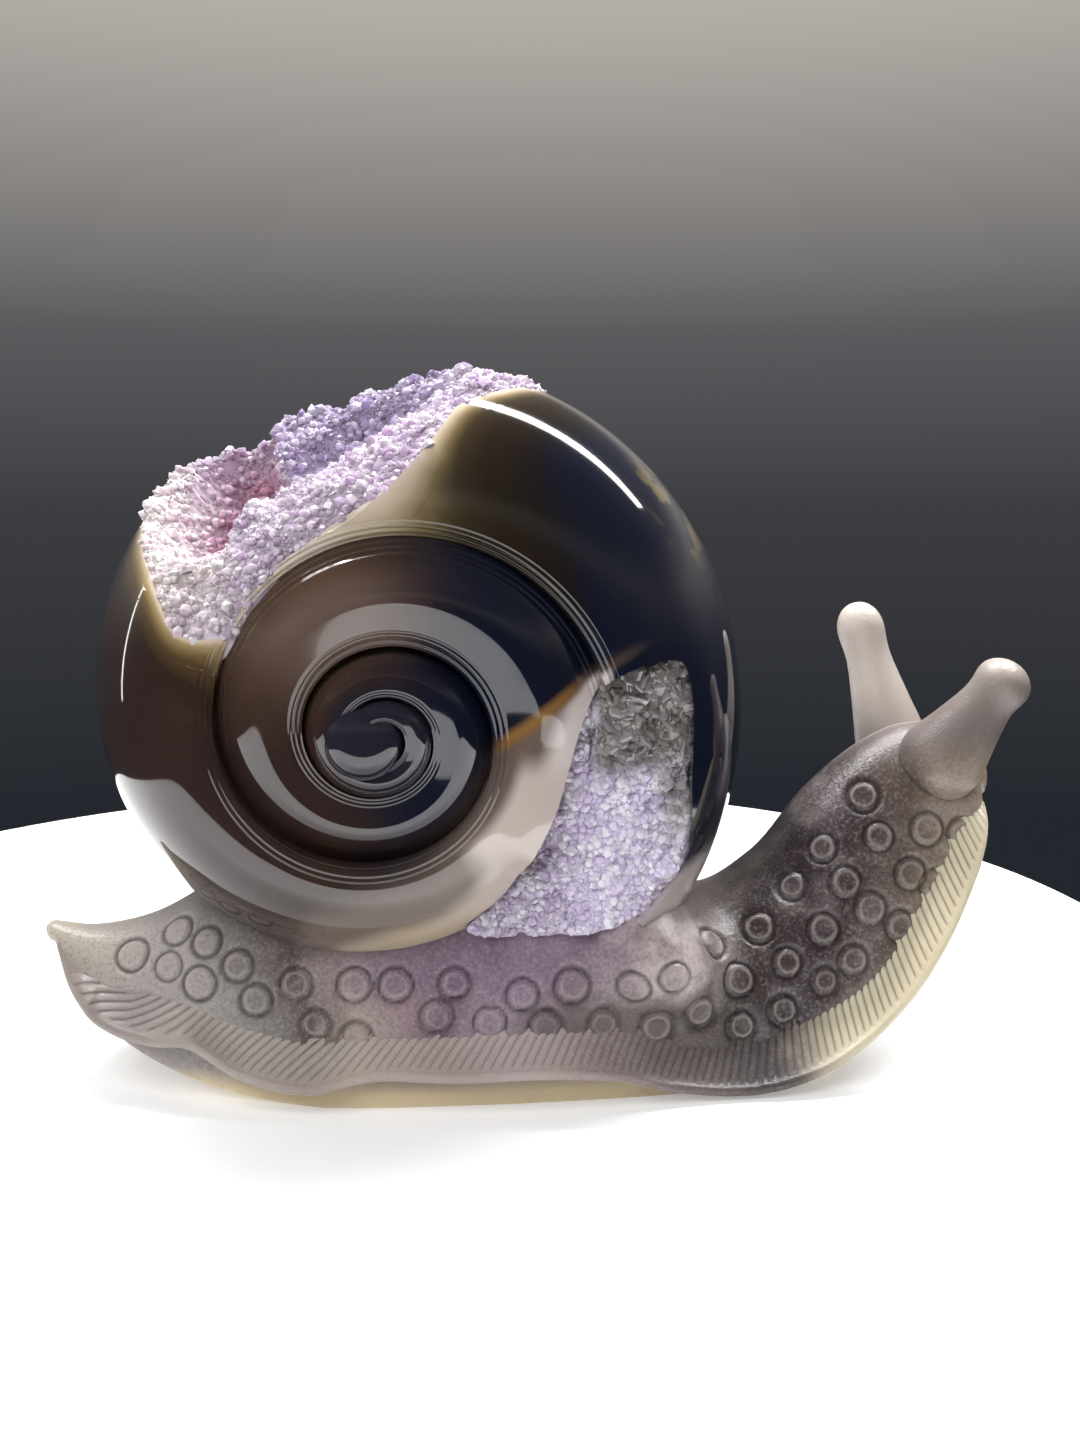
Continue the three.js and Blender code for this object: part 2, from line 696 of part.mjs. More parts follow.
export default snail;
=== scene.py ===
"""Carved agate snail with amethyst in the crown and the mouth of its shell."""

import math

import bpy
import numpy as np
from mathutils import Matrix, Vector


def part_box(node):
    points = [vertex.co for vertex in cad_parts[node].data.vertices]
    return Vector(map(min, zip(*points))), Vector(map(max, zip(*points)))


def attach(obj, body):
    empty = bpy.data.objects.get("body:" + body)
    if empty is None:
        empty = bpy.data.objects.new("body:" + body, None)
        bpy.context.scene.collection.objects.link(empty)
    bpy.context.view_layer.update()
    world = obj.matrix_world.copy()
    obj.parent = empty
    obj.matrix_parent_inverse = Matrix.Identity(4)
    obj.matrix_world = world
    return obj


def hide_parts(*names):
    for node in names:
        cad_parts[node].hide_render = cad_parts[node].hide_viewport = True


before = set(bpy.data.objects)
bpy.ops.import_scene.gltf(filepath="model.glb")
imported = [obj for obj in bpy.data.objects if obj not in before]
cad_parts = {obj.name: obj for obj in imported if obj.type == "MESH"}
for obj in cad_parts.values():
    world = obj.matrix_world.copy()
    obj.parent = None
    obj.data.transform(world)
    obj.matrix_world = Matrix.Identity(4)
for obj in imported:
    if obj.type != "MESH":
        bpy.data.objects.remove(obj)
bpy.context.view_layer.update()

# Sizes of the stone are in millimetres and angles in degrees.
MM = 0.001

# Distance kept on points that a layer doesn't reach.
FAR = 99.0

# Coil of the shell, placed by the knob at its middle.
KNOB_LOW, KNOB_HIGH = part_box("apex_knob")
KNOB_OFFSET = 2.4
KNOB_X = (KNOB_LOW.x + KNOB_HIGH.x) / 2 / MM
COIL_X = KNOB_X + KNOB_OFFSET
COIL_Z = (KNOB_LOW.z + KNOB_HIGH.z) / 2 / MM
KNOB_RADIUS = 6.2
KNOB_TOP = KNOB_HIGH.y / MM
KNOB_RISE = 5.2
MOUTH_RADIUS = 34
LAST_TURN_GROWTH = 0.62
INNER_TURN_GROWTH = 0.76
FLARE_START = 75
FLARE_SOFTNESS = 28
RIM_FLAT = 2.6
RIM_FLAT_START = (70, 125)
RIM_FLAT_END = (215, 300)
SHELL_HALF_DEPTH = 27
SPIRE_RISE = 1.4
SPIRE_LEAN = 11
BODY_CREST = 0.1
SPIRE_CREST = 0.42
EDGE_DROP = 0.7
RIM_DROP = 0.38
SIDE_POWER = 1.6
INNER_SLOPE = 0.1
INNER_CALM = 0.75
INNER_DEEPER = 0.6
LOWER_CALM = 0.6
TURN_GAP = 0.02
LIP_END = -38
LIP_TURN = 375
INNER_END = 1195
WHORL_ROWS = 164

# Fine lines cut beside the sutures.
LINE_BAND = 2.4
LINE_SHARE = 0.16
LINE_DEPTH = 0.2
LINE_COUNT = 3
LINE_ROWS = 16

# Crown of the shell: the scooped face, the hollow and the valley in its crystals.
CROWN_ANGLE = 120
CROWN_TILT = 25
CROWN_RADIUS = 40.5
CROWN_SIDE = 3
SCOOP = {"along": 23, "across": 0, "rise": 22, "length": 33, "width": 90, "depth": 25, "turn": -40}
TONGUE = {"along": -13, "across": -30, "rise": 4, "length": 9, "width": 14, "depth": 11, "turn": 0}
HOLLOW = {"along": -3, "across": 0, "rise": 0, "length": 8, "width": 18, "depth": 10, "turn": -22}
VALLEY = {"along": 18, "across": 0, "rise": -1, "length": 17, "width": 8, "depth": 5, "turn": 20}
LINING_CORNERS = [
    (48, -3), (41.3, -12), (33.5, -17.5), (25.3, -23.9), (19.5, -26), (10.7, -26.5), (1, -27.3),
    (-7.4, -28.4), (-11.7, -29.2), (-16.7, -27), (-17, -22), (-16, -12), (-15, 0), (-14, 12),
    (-6, 20), (15, 20), (34, 15), (47, 5),
]
LINING_MIDDLE = (14, -6)
CROWN_DEPTH = 11
CROWN_TOP = 50
RIND_THICKNESS = 3
LEDGE_SINK = 1.2
BEVEL_DEPTH = 0.7
BEVEL_SLOPE = 0.5
PEAK_LIFT = 2.4
RIDGE_SINK = 1.6
RIDGE_NOTCHES = (5.5, 25.0)
NOTCH_DEPTH = 1.7
NOTCH_WIDTH = 1.6
NOTCH_SLANT = 0.15
SCOOP_SPACING = 1.2
GROUND_SPACING = 0.7

# Map of the crown, and the heights at which the shell is looked for.
CROWN_LOW = np.array([-42.0, -58.0])
CROWN_HIGH = np.array([66.0, 46.0])
CROWN_STEP = 0.5
SEARCH_TOP, SEARCH_LOW, SEARCH_STEP = 14.0, -20.0, 0.2

# Mouth of the shell: corners as angle and share of the coil's radius.
MOUTH_FLOOR = 12
MOUTH_FACE = 24
MOUTH_TILT = 5
MOUTH_MARGIN = 3
MOUTH_CORNERS = [
    (12, 0.57), (13, 0.77), (8, 0.79), (-10, 0.8), (-24, 0.86),
    (-38, 0.83), (-51, 0.71), (-68, 0.57), (-55, 0.53), (-29, 0.48),
]
CREAM_CORNERS = MOUTH_CORNERS[:-3] + [(-68, 0.62), (-97, 0.61), (-70, 0.54), (-53, 0.5), (-29, 0.46)]
LIP_CORNERS = MOUTH_CORNERS[:-3] + [(-98, 0.6), (-64, 0.43), (-31, 0.41)]

# Crystals: tries, sizes and ways. Waves of their ground are a seed, the longest and the shortest.
CROWN_TRIES = 30000
CROWN_DENSITY = 0.42
CROWN_SPREAD = 0.42
CROWN_WAVES = (3, 9.0, 2.2)
CROWN_LARGEST = 1.4
CROWN_SCALE = 0.8
STEEPEST = 2.5
SLOPE_STEP = 0.4
MOUTH_TRIES = 17000
MOUTH_SPREAD = 0.5
MOUTH_WAVES = (8, 11.0, 2.4)
MOUTH_LARGEST = 1.2
SMALL_CRYSTAL = (0.3, 0.6)
MIDDLE_CRYSTAL = (0.55, 0.9)
LARGE_CRYSTAL = 0.9
SMALL_SHARE = 0.75
LARGE_SHARE = 0.955
PRISM_FROM = 0.62

# Body: lower line (x, half width, z), upper line (x, z) and height of the frill's hem.
BODY_SHIFT = COIL_X + 26.5
LOWER_LINE = [
    (-79, 2.5, 22), (-75, 6, 15), (-67, 11, 8), (-54, 16, 2.5), (-36, 21, 0), (-12, 22.5, 0), (12, 22, 0),
    (30, 20.5, 0), (44, 18.5, 2.5), (54, 16.5, 10), (61, 14.5, 20), (67, 12.5, 30), (71, 10, 39), (72, 6, 46),
]
UPPER_LINE = [
    (-79.5, 24.5), (-73, 23.5), (-64, 25), (-54, 30), (-34, 38), (-10, 42), (10, 38),
    (26, 27), (36, 32.5), (45, 44), (53, 51), (60, 54.3), (66, 54.3), (70, 51),
]
HEM_LOW = 0.3
HEM_LINE = [
    0.3, 0.3, 0.3, 0.3, 1.6, 4.1, 6.8, 4.2, 3.4, 5.9, 5.6, 5.9, 5.0, 2.1,
    0.8, 0.9, 1.6, 1.7, 1.0, 0.6, 0.3, 0.3, 0.3, 0.3, 0.3, 0.3, 0.3, 0.3,
]
TAIL_JOINT = 0.24
NECK_JOINT = 0.55
NECK_TOP = 0.8
CHEST_BULGE = 4.5
WALL_POWER = 2.6
NECK_POWER = 2.1
WALL_ROWS = 110
CHEST_ROWS = 24
BODY_ROWS = 2 * WALL_ROWS + CHEST_ROWS
CAP_SHARE = 0.02
CAP_MIDDLE = 0.45

# Frill of the foot. Its skin is shared out to the face, the round hem and the back.
FRILL_START = 0.012
FRILL_LENGTH = 0.945
FRILL_GRID = (900, 60)
FRILL_FACE, FRILL_HEM, FRILL_BACK = 0.62, 0.18, 0.2
FRILL_TAPER = 9
FRILL_LEAST = 0.12
FACE_CURVE = 1.9
ROOT_SINK = 1.1
HEM_ROUND = 0.7
BACK_SINK = 1.2
SKIRT_HEIGHT = 9
SKIRT_ROOT = 12.6
SKIRT_FLARE = 4.6
SKIRT_EDGE = 0.8
SKIRT_WAVE = 0.7
SKIRT_WAVES = 5.5
FLUTE_PITCH = 1.6
FLUTE_WIDTH = 0.17
FLUTE_DEPTH = 0.4
# Painted shade in the frill's flutes, and a little on its hem.
FLUTE_SHADE = 0.42
HEM_SHADE = 0.17
FLUTE_SLANT = ([0, 0.15, 0.3, 0.5, 0.6, 0.7, 1], [1.5, 1.5, 1.2, 0.8, 0.4, 0.1, 0])

# Swelling of the body under the outer wall of the mouth: middle of the near one, reach and push.
SHOULDER = (BODY_SHIFT + 17, -17, 23)
SHOULDER_REACH = 14
SHOULDER_PUSH = 7.5

# Ring spots carved on the body, as x and z on its side.
SPOT_RADIUS = 2.65
RING_WIDTH = 0.42
RING_DEPTH = 0.55
RING_DEEPEST = 0.7
RING_LIP = 0.16
LIP_OFFSET = 0.8
LIP_WIDTH = 0.4
SPOT_GRID = (500, 160)
SPOTS = [
    (51, 44), (44, 36), (53, 38), (61, 39), (67, 38), (58, 32), (62, 30), (39, 30), (47, 31), (51, 27),
    (43, 24), (56, 24), (33, 24), (25, 23), (37, 19), (48, 19), (43, 16), (29, 17), (36, 12), (29, 10),
    (22, 13), (-31, 19), (-25, 19), (-16, 19), (-6, 17), (2, 18), (11, 18), (17, 20), (-19, 14), (-11, 13),
    (-2, 12), (7, 12), (15, 11), (-31, 11), (-37, 13), (-40, 19),
    (-66, 21), (-60, 20), (-54, 24), (-59, 25), (-55, 18), (-49, 21), (-46, 16),
]

# Tentacles: share of the length and radius of each ring, then root, way to the tip and width.
STALK_PROFILE = [
    (-0.3, 4.6), (-0.15, 5.8), (0.0, 6.3), (0.12, 6.0), (0.26, 5.4), (0.42, 4.75), (0.6, 4.1),
    (0.72, 3.75), (0.82, 3.75), (0.92, 4.05), (1.0, 4.0), (1.08, 3.35), (1.14, 2.1),
]
STALK_SHARE = 0.9
STALK_TIP = 0.5
STALK_STATION = 0.88
STALK_SIDE = 0.72
NEAR_STALK = {"side": -1, "root": (1.8, -5.5), "way": (9.6, -5, 15.6), "wide": 1.14}
FAR_STALK = {"side": 1, "root": (-1.2, -5.5), "way": (-6.2, 4, 23.8), "wide": 1.0}

# Shaders' fixed values.
POLISHED = {"Roughness": 0.07, "IOR": 1.55, "Coat Weight": 0.6, "Coat Roughness": 0.02}
FROSTED = {
    "Roughness": 0.3, "IOR": 1.5, "Specular IOR Level": 0.5, "Subsurface Weight": 0.25,
    "Subsurface Radius": (0.004, 0.003, 0.0028), "Subsurface Scale": 1.0,
}
AMETHYST = {
    "Roughness": 0.12, "IOR": 1.55, "Coat Weight": 0.4, "Subsurface Weight": 0.4,
    "Subsurface Radius": (0.003, 0.0022, 0.0034), "Subsurface Scale": 0.6,
}
WHITE_TABLE = {
    "Base Color": (0.82, 0.82, 0.82, 1), "Roughness": 0.45,
    "Emission Color": (1, 1, 1, 1), "Emission Strength": 0.3,
}

# Bumps of the finishes as strength and depth in metres.
RIPPLE = (0.2, 0.0008)
GRAIN = (0.4, 0.0003)

# Colours as red, green and blue. In a list of stops the place of each colour stands before it.
BLACK_AGATE = (0.006, 0.008, 0.020)
BROWN_AGATE = (0.032, 0.018, 0.016)
BROWN_CLOUD = (0.050, 0.028, 0.014)
KNOB_COLOUR = (0.017, 0.017, 0.028)
FLECK_COLOUR = (0.13, 0.10, 0.05)
# Amber, a pale veil and a rosy patch on the second turn: turns, radii, strength and colour. The veil is the
# stone's colour with a painted reflection, a pale tint laid where the table's reflection crosses the second
# turn.
TURN_TINTS = [
    ((85, 165, 30), (12, 29, 5), 0.9, (0.080, 0.047, 0.029)),
    ((75, 150, 25), (13, 22, 2.5), 0.8, (0.15, 0.10, 0.085)),
    ((285, 345, 25), (17, 30, 4), 0.7, (0.085, 0.052, 0.036)),
]
RIND_REACH = 14.0
RIND_COLOURS = [
    (0.0, 0.74, 0.63, 0.54), (0.05, 0.62, 0.50, 0.36), (0.12, 0.36, 0.27, 0.13), (0.23, 0.19, 0.13, 0.055),
    (0.34, 0.088, 0.054, 0.024), (0.62, 0.034, 0.020, 0.012), (1.0, 0.014, 0.010, 0.010),
]
RIND_SHADE = (0.010, 0.007, 0.006)
LIP_BROWN = (0.135, 0.10, 0.082)
LIP_ABOVE = (0.10, 0.068, 0.05)
LIP_CREAM = (0.66, 0.58, 0.56)
LIP_YELLOW = (0.46, 0.38, 0.25)
LIP_INSIDE = (0.54, 0.46, 0.42)
WEDGE_ORANGE = (0.23, 0.12, 0.040)
BODY_ENDS = (-0.078, 0.078)
BODY_COLOURS = [
    (0.0, 0.46, 0.42, 0.34), (0.06, 0.40, 0.36, 0.315), (0.11, 0.36, 0.325, 0.315), (0.16, 0.34, 0.31, 0.29),
    (0.19, 0.23, 0.21, 0.195), (0.25, 0.06, 0.04, 0.036), (0.31, 0.34, 0.27, 0.24), (0.36, 0.28, 0.20, 0.21),
    (0.40, 0.15, 0.09, 0.13), (0.46, 0.33, 0.245, 0.315), (0.53, 0.25, 0.185, 0.20), (0.60, 0.26, 0.21, 0.205),
    (0.66, 0.15, 0.115, 0.105), (0.71, 0.036, 0.024, 0.024), (0.80, 0.04, 0.026, 0.029),
    (0.87, 0.10, 0.074, 0.062), (0.93, 0.28, 0.22, 0.16), (1.0, 0.40, 0.34, 0.26),
]
PLUM_HAZE = (0.16, 0.105, 0.17)
PALE_PATCH = (0.52, 0.45, 0.44)
MOTTLE = (0.36, 0.31, 0.31)
FROST_LIGHT = (0.52, 0.47, 0.46)
FROST_DARK = (0.03, 0.024, 0.026)
FRILL_PALE = (0.46, 0.405, 0.365)
FRILL_DARK = (0.045, 0.042, 0.05)
FRILL_TAIL = (0.17, 0.15, 0.15)
FRILL_CHEST = (0.62, 0.56, 0.41)
# Painted shade on the low wall under the mouth and on the top of the nape.
WALL_SHADE_UNDER_MOUTH = (0.05, 0.04, 0.038)
NAPE_PAINTED_SHADE = (0.012, 0.008, 0.008)
BROW = (0.15, 0.125, 0.125)
STALK_CREAM_AND_LIGHT = (0.66, 0.585, 0.525)
# Painted shade in the ring grooves and the frill's flutes.
GROOVE_PAINTED_SHADE = (0.02, 0.016, 0.017)
# Grey stone where the shell runs into the body, and the painted highlight on the lips inside the rings.
GREY_STONE_AND_LIP_HIGHLIGHT = (0.40, 0.35, 0.34)
SOLE_CREAM_AND_GLOW = (0.70, 0.58, 0.38)
CRYSTAL_PALE = [(0.0, 0.53, 0.40, 0.57), (0.6, 0.62, 0.50, 0.65), (1.0, 0.80, 0.72, 0.81)]
CRYSTAL_ZONES = {
    "lilac": [(0.0, 0.62, 0.51, 0.77), (0.6, 0.77, 0.65, 0.92), (1.0, 0.92, 0.86, 0.98)],
    # Violet is partly painted shade, in the crown's valley.
    "violet": [(0.0, 0.30, 0.23, 0.38), (0.55, 0.41, 0.335, 0.50), (1.0, 0.68, 0.62, 0.74)],
    "pink": [(0.0, 0.30, 0.12, 0.16), (0.6, 0.46, 0.245, 0.355), (1.0, 0.68, 0.47, 0.59)],
    "white": [(0.0, 0.66, 0.54, 0.57), (1.0, 0.88, 0.80, 0.83)],
    "smoke": [(0.0, 0.14, 0.118, 0.114), (0.65, 0.19, 0.165, 0.16), (1.0, 0.28, 0.25, 0.25)],
}
SMOKE_VEIN = (0.62, 0.58, 0.60)

# Stage, in metres: table, colours of the studio from below to above, lights and camera.
TABLE_RADIUS = 0.155
TABLE_FRONT = 0.192
TABLE_MIDDLE = (-0.02, 0.071, 0)
TABLE_POWER = 6
STUDIO_SHADES = [
    (0.40, 0.018, 0.021, 0.027), (0.50, 0.045, 0.047, 0.053), (0.56, 0.105, 0.104, 0.112),
    (0.60, 0.235, 0.225, 0.215), (0.66, 0.46, 0.435, 0.40), (0.74, 0.17, 0.165, 0.16), (1.0, 0.10, 0.10, 0.10),
]
STUDIO_FRONT = (0.012, 0.012, 0.014)
# Place, aim, width and height, power in watts, and whether it is seen in reflections.
LIGHTS = {
    "strip over the shell": ((0.16, 0.15, 0.6), (0.16, 0, 0.05), (0.8, 0.04), 6, True),
    "glow round the strip": ((0.14, 0.15, 0.61), (0.14, 0, 0.05), (1.2, 0.07), 4, True),
    "tube beside the shell": ((-0.8, 0.2, 0.2), (0, 0, 0.05), (0.012, 0.45), 0.25, True),
    "front fill": ((-0.3, -0.5, 0.6), (0, 0, 0.04), (0.6, 0.5), 5.4, False),
    "back fill": ((0.35, 0.45, 0.5), (0, 0, 0.04), (0.5, 0.4), 2.5, False),
}
CAMERA_LENS = 35
CAMERA_SENSOR = 36
CAMERA_YAW = -6
CAMERA_PITCH = 8.5
CAMERA_DISTANCE = 0.229
CAMERA_AIM = Vector((BODY_SHIFT - 0.8, 0, 56)) * MM


def smoothstep(value, low, high):
    share = np.clip((value - low) / (high - low), 0, 1)
    return share * share * (3 - 2 * share)


def soft_min(a, b, soft):
    return -soft * np.logaddexp(-a / soft, -b / soft)


def unit(vectors):
    return vectors / np.linalg.norm(vectors, axis=1, keepdims=True)


def waves(x, y, seed, longest, shortest, count=26):
    """Uneven ground of about unit height: waves in all directions, the longer the higher."""
    random = np.random.default_rng(seed)
    total = 0 * x
    for share in np.linspace(0, 1, count):
        length = longest * (shortest / longest) ** share
        turn, start = random.uniform(0, 2 * np.pi, 2)
        reach = (x * np.cos(turn) + y * np.sin(turn)) / length
        total = total + length / longest * np.sin(2 * np.pi * reach + start)
    return total / math.sqrt(count / 4)


# Modelling steps.
def start_piece(name):
    piece = bpy.context.object
    piece.name = name
    piece.data.name = name
    return piece


def select_only(piece):
    bpy.ops.object.select_all(action="DESELECT")
    piece.select_set(True)
    bpy.context.view_layer.objects.active = piece


def edit_piece(piece):
    """Open a piece for editing, with all of it selected."""
    select_only(piece)
    bpy.ops.object.mode_set(mode="EDIT")
    bpy.ops.mesh.select_all(action="SELECT")


def extrude(way):
    bpy.ops.mesh.extrude_region_move(TRANSFORM_OT_translate={"value": way})


def points_of(piece):
    points = np.zeros(len(piece.data.vertices) * 3)
    piece.data.vertices.foreach_get("co", points)
    return points.reshape(-1, 3)


def put_points(piece, points):
    piece.data.vertices.foreach_set("co", np.ascontiguousarray(points, dtype=np.float32).ravel())
    piece.data.update()


def keep_values(piece, name, values):
    """A value on each point of a piece, for its finish."""
    kept = piece.data.attributes.new(name, "FLOAT", "POINT")
    kept.data.foreach_set("value", np.asarray(values, np.float32))


def circle_piece(name, count, radius=1):
    bpy.ops.object.select_all(action="DESELECT")
    bpy.ops.mesh.primitive_circle_add(vertices=count, radius=radius, fill_type="NGON")
    return start_piece(name)


def sheet_piece(name, columns, rows, place):
    """A grid laid on a surface, which gives points in millimetres for shares along and around it."""
    bpy.ops.object.select_all(action="DESELECT")
    bpy.ops.mesh.primitive_grid_add(x_subdivisions=columns, y_subdivisions=rows, size=1)
    piece = start_piece(name)
    flat = points_of(piece)
    put_points(piece, place(flat[:, 0] + 0.5, flat[:, 1] + 0.5) * MM)
    return piece


def close_piece(piece):
    """Weld the seams of a piece and fill its holes."""
    edit_piece(piece)
    bpy.ops.mesh.remove_doubles(threshold=2e-6)
    bpy.ops.mesh.dissolve_degenerate(threshold=1e-6)
    bpy.ops.mesh.select_all(action="SELECT")
    bpy.ops.mesh.fill_holes(sides=0)
    bpy.ops.mesh.select_all(action="SELECT")
    bpy.ops.mesh.normals_make_consistent(inside=False)
    bpy.ops.object.mode_set(mode="OBJECT")
    return piece


def push_piece(piece, way):
    """Pull a sheet into a block along a way in millimetres."""
    edit_piece(piece)
    extrude([float(v) * MM for v in way])
    bpy.ops.object.mode_set(mode="OBJECT")
    return close_piece(piece)


def outline_block(name, outline, way):
    """Block under a closed outline."""
    piece = circle_piece(name, len(outline))
    put_points(piece, outline * MM)
    return push_piece(piece, way)


def smooth_piece(piece, angle=40):
    select_only(piece)
    bpy.ops.object.shade_smooth_by_angle(angle=math.radians(angle))
    return piece


def cut_piece(piece, *tools, operation="DIFFERENCE"):
    """Cut a piece with tools, which are then removed."""
    for tool in tools:
        select_only(piece)
        bpy.ops.object.modifier_add(type="BOOLEAN")
        cut = piece.modifiers[-1]
        cut.operation = operation
        cut.solver = "EXACT"
        cut.object = tool
        bpy.ops.object.modifier_apply(modifier=cut.name)
        bpy.data.objects.remove(tool)


def finish_piece(piece, material):
    """Give a piece its finish, and the place of the part it shows."""
    piece.data.materials.clear()
    piece.data.materials.append(material)
    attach(piece, "root")
    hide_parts(piece.name.removeprefix("carved_"))


# Lines.
def spline(corners, share, closed):
    """Points of a centripetal Catmull-Rom line through corners."""
    corners = np.asarray(corners, float)
    count = len(corners)
    spans = count if closed else count - 1
    place = np.clip(share * spans, 0, spans - 1e-9)
    index = np.floor(place).astype(int)
    w = (place - index)[:, None]
    if closed:
        p0, p1, p2, p3 = (corners[(index + k) % count] for k in (-1, 0, 1, 2))
    else:
        ends = np.vstack([2 * corners[0] - corners[1], corners, 2 * corners[-1] - corners[-2]])
        p0, p1, p2, p3 = (ends[index + k] for k in (0, 1, 2, 3))
    d0, d1, d2 = (
        np.maximum(np.linalg.norm(b - a, axis=1, keepdims=True) ** 0.5, 1e-4)
        for a, b in ((p0, p1), (p1, p2), (p2, p3))
    )
    t1 = ((p1 - p0) / d0 - (p2 - p0) / (d0 + d1) + (p2 - p1) / d1) * d1
    t2 = ((p2 - p1) / d1 - (p3 - p1) / (d1 + d2) + (p3 - p2) / d2) * d1
    return p1 + t1 * w + (3 * (p2 - p1) - 2 * t1 - t2) * w**2 + (2 * (p1 - p2) + t1 + t2) * w**3


def closed_line(corners, count):
    return spline(corners, np.arange(count) / count, True)


def inside_outline(x, y, outline):
    inside = np.zeros(len(x), bool)
    for (x1, y1), (x2, y2) in zip(outline, np.roll(outline, -1, axis=0)):
        crosses = (y1 > y) != (y2 > y)
        reach = x1 + (y - y1) * (x2 - x1) / (y2 - y1 if y2 != y1 else 1e-9)
        inside ^= crosses & (x < reach)
    return inside


def outline_distance(x, y, outline):
    """Distance to an outline, below zero inside it."""
    away = np.full(len(x), 1e9)
    for (x1, y1), (x2, y2) in zip(outline, np.roll(outline, -1, axis=0)):
        dx, dy = x2 - x1, y2 - y1
        share = np.clip(((x - x1) * dx + (y - y1) * dy) / (dx * dx + dy * dy + 1e-12), 0, 1)
        away = np.minimum(away, np.hypot(x - x1 - share * dx, y - y1 - share * dy))
    return np.where(inside_outline(x, y, outline), -away, away)


def scatter(random, outline, count):
    """Random spots in the box round an outline."""
    low, high = outline.min(0), outline.max(0)
    return random.uniform(low[0], high[0], count), random.uniform(low[1], high[1], count)


# Coil.
def coil_radius(degrees):
    eased = FLARE_START - FLARE_SOFTNESS * np.tanh((FLARE_START - degrees) / FLARE_SOFTNESS)
    eased = np.where(degrees < FLARE_START, eased, degrees)
    flat = RIM_FLAT * (smoothstep(degrees, *RIM_FLAT_START) - smoothstep(degrees, *RIM_FLAT_END))
    last = MOUTH_RADIUS * np.exp(LAST_TURN_GROWTH * (360 - eased) / 360) - flat
    inner = MOUTH_RADIUS * np.exp(-INNER_TURN_GROWTH * (degrees - 360) / 360)
    return np.where(degrees < 360, last, inner)


def spire_share(degrees):
    """Share of the spire in a whorl: none in the last turn, all in the turns inside it."""
    return smoothstep(degrees, LIP_TURN - 45, LIP_TURN - 3)


def inner_share(degrees):
    """Share of the innermost turn in a whorl."""
    return smoothstep(degrees, LIP_TURN + 265, LIP_TURN + 405)


def lean_slope(degrees, share):
    """Slope of a face that leans by a share of the spire's lean."""
    return share * math.tan(math.radians(SPIRE_LEAN)) * np.sin(np.radians(degrees))


def crest_height(degrees, radius):
    lean = lean_slope(degrees, spire_share(degrees))
    return SHELL_HALF_DEPTH + SPIRE_RISE * np.maximum(0, degrees) / 360 + lean * radius


def edge_height(degrees):
    return crest_height(degrees, coil_radius(degrees + 360)) - EDGE_DROP


def coil_point(degrees, radius, side):
    turn = np.radians(degrees)
    return np.stack([COIL_X + radius * np.cos(turn), side + 0 * radius, COIL_Z + radius * np.sin(turn)], -1)


def whorl_lines(degrees):
    """Radii of a whorl's inner edge, crest and outer side, and how far its side is covered."""
    inner = coil_radius(degrees + 360)
    outer = coil_radius(degrees) - TURN_GAP
    crest = inner + (outer - inner) * (BODY_CREST + (SPIRE_CREST - BODY_CREST) * spire_share(degrees))
    covered = np.clip((degrees - (LIP_END + 350)) / 8, 0, 1)
    return inner, crest, outer, covered


def whorl_height(degrees, radius):
    """Height of a whorl's face at a radius: rounded on the last turn, a leaning ridge on the spire."""
    inner, crest, outer, covered = whorl_lines(degrees)
    top = crest_height(degrees, crest)
    sunk = RIM_DROP * (1 + INNER_DEEPER * inner_share(degrees)) * (outer - inner)
    rim = np.minimum(edge_height(degrees - 360), top - sunk) * covered
    spire = spire_share(degrees)
    calm = 1 - INNER_CALM * inner_share(degrees)
    level = 1 - LOWER_CALM * smoothstep(-np.sin(np.radians(degrees)), 0, 0.5)
    lean = lean_slope(degrees, spire * calm * level)
    rising = radius < crest
    across = np.clip(np.abs(radius - crest) / np.where(rising, crest - inner, outer - crest), 0, 1)
    rounded = 1 - np.sqrt(1 - across**2)
    fall = rounded + spire * (across ** np.where(rising, 1.0, SIDE_POWER) - rounded)
    slope = INNER_SLOPE * calm * (1 + 0.5 * np.sin(np.radians(degrees)))
    edge = EDGE_DROP + spire * (slope * (crest - inner) - EDGE_DROP)
    drop = np.where(rising, edge, top + lean * (outer - crest) - rim)
    return top + lean * (radius - crest) - drop * fall


def whorl_profile(degrees, step, last):
    """Radius and height of a whorl's face, with fine lines along its sutures."""
    inner, crest, outer, covered = whorl_lines(degrees)
    band = np.minimum(LINE_BAND, LINE_SHARE * (outer - inner))
    turns = []
    for edge in (inner + band, outer - band * covered):
        reach = np.where(edge < crest, crest - inner, outer - crest)
        turns.append(np.arcsin(np.clip((edge - crest) / reach, -1, 1)))
    share = np.clip((step - LINE_ROWS) / (last - 2 * LINE_ROWS), 0, 1)
    across = np.sin(turns[0] + (turns[1] - turns[0]) * share)
    radius = crest + np.where(across < 0, crest - inner, outer - crest) * across
    share_in = np.clip(step / LINE_ROWS, 0, 1)
    share_out = np.clip((last - step) / LINE_ROWS, 0, 1)
    radius = np.where(share_in < 1, inner + band * share_in, radius)
    radius = np.where(share_out < 1, outer - band * covered * share_out, radius)
    height = whorl_height(degrees, radius)
    fade = LINE_DEPTH * np.clip(band / LINE_BAND, 0, 1)
    for share, strength in ((share_in, fade), (share_out, fade * covered)):
        height = height - strength * (1 - np.cos(2 * np.pi * LINE_COUNT * share)) / 2
    return radius, height


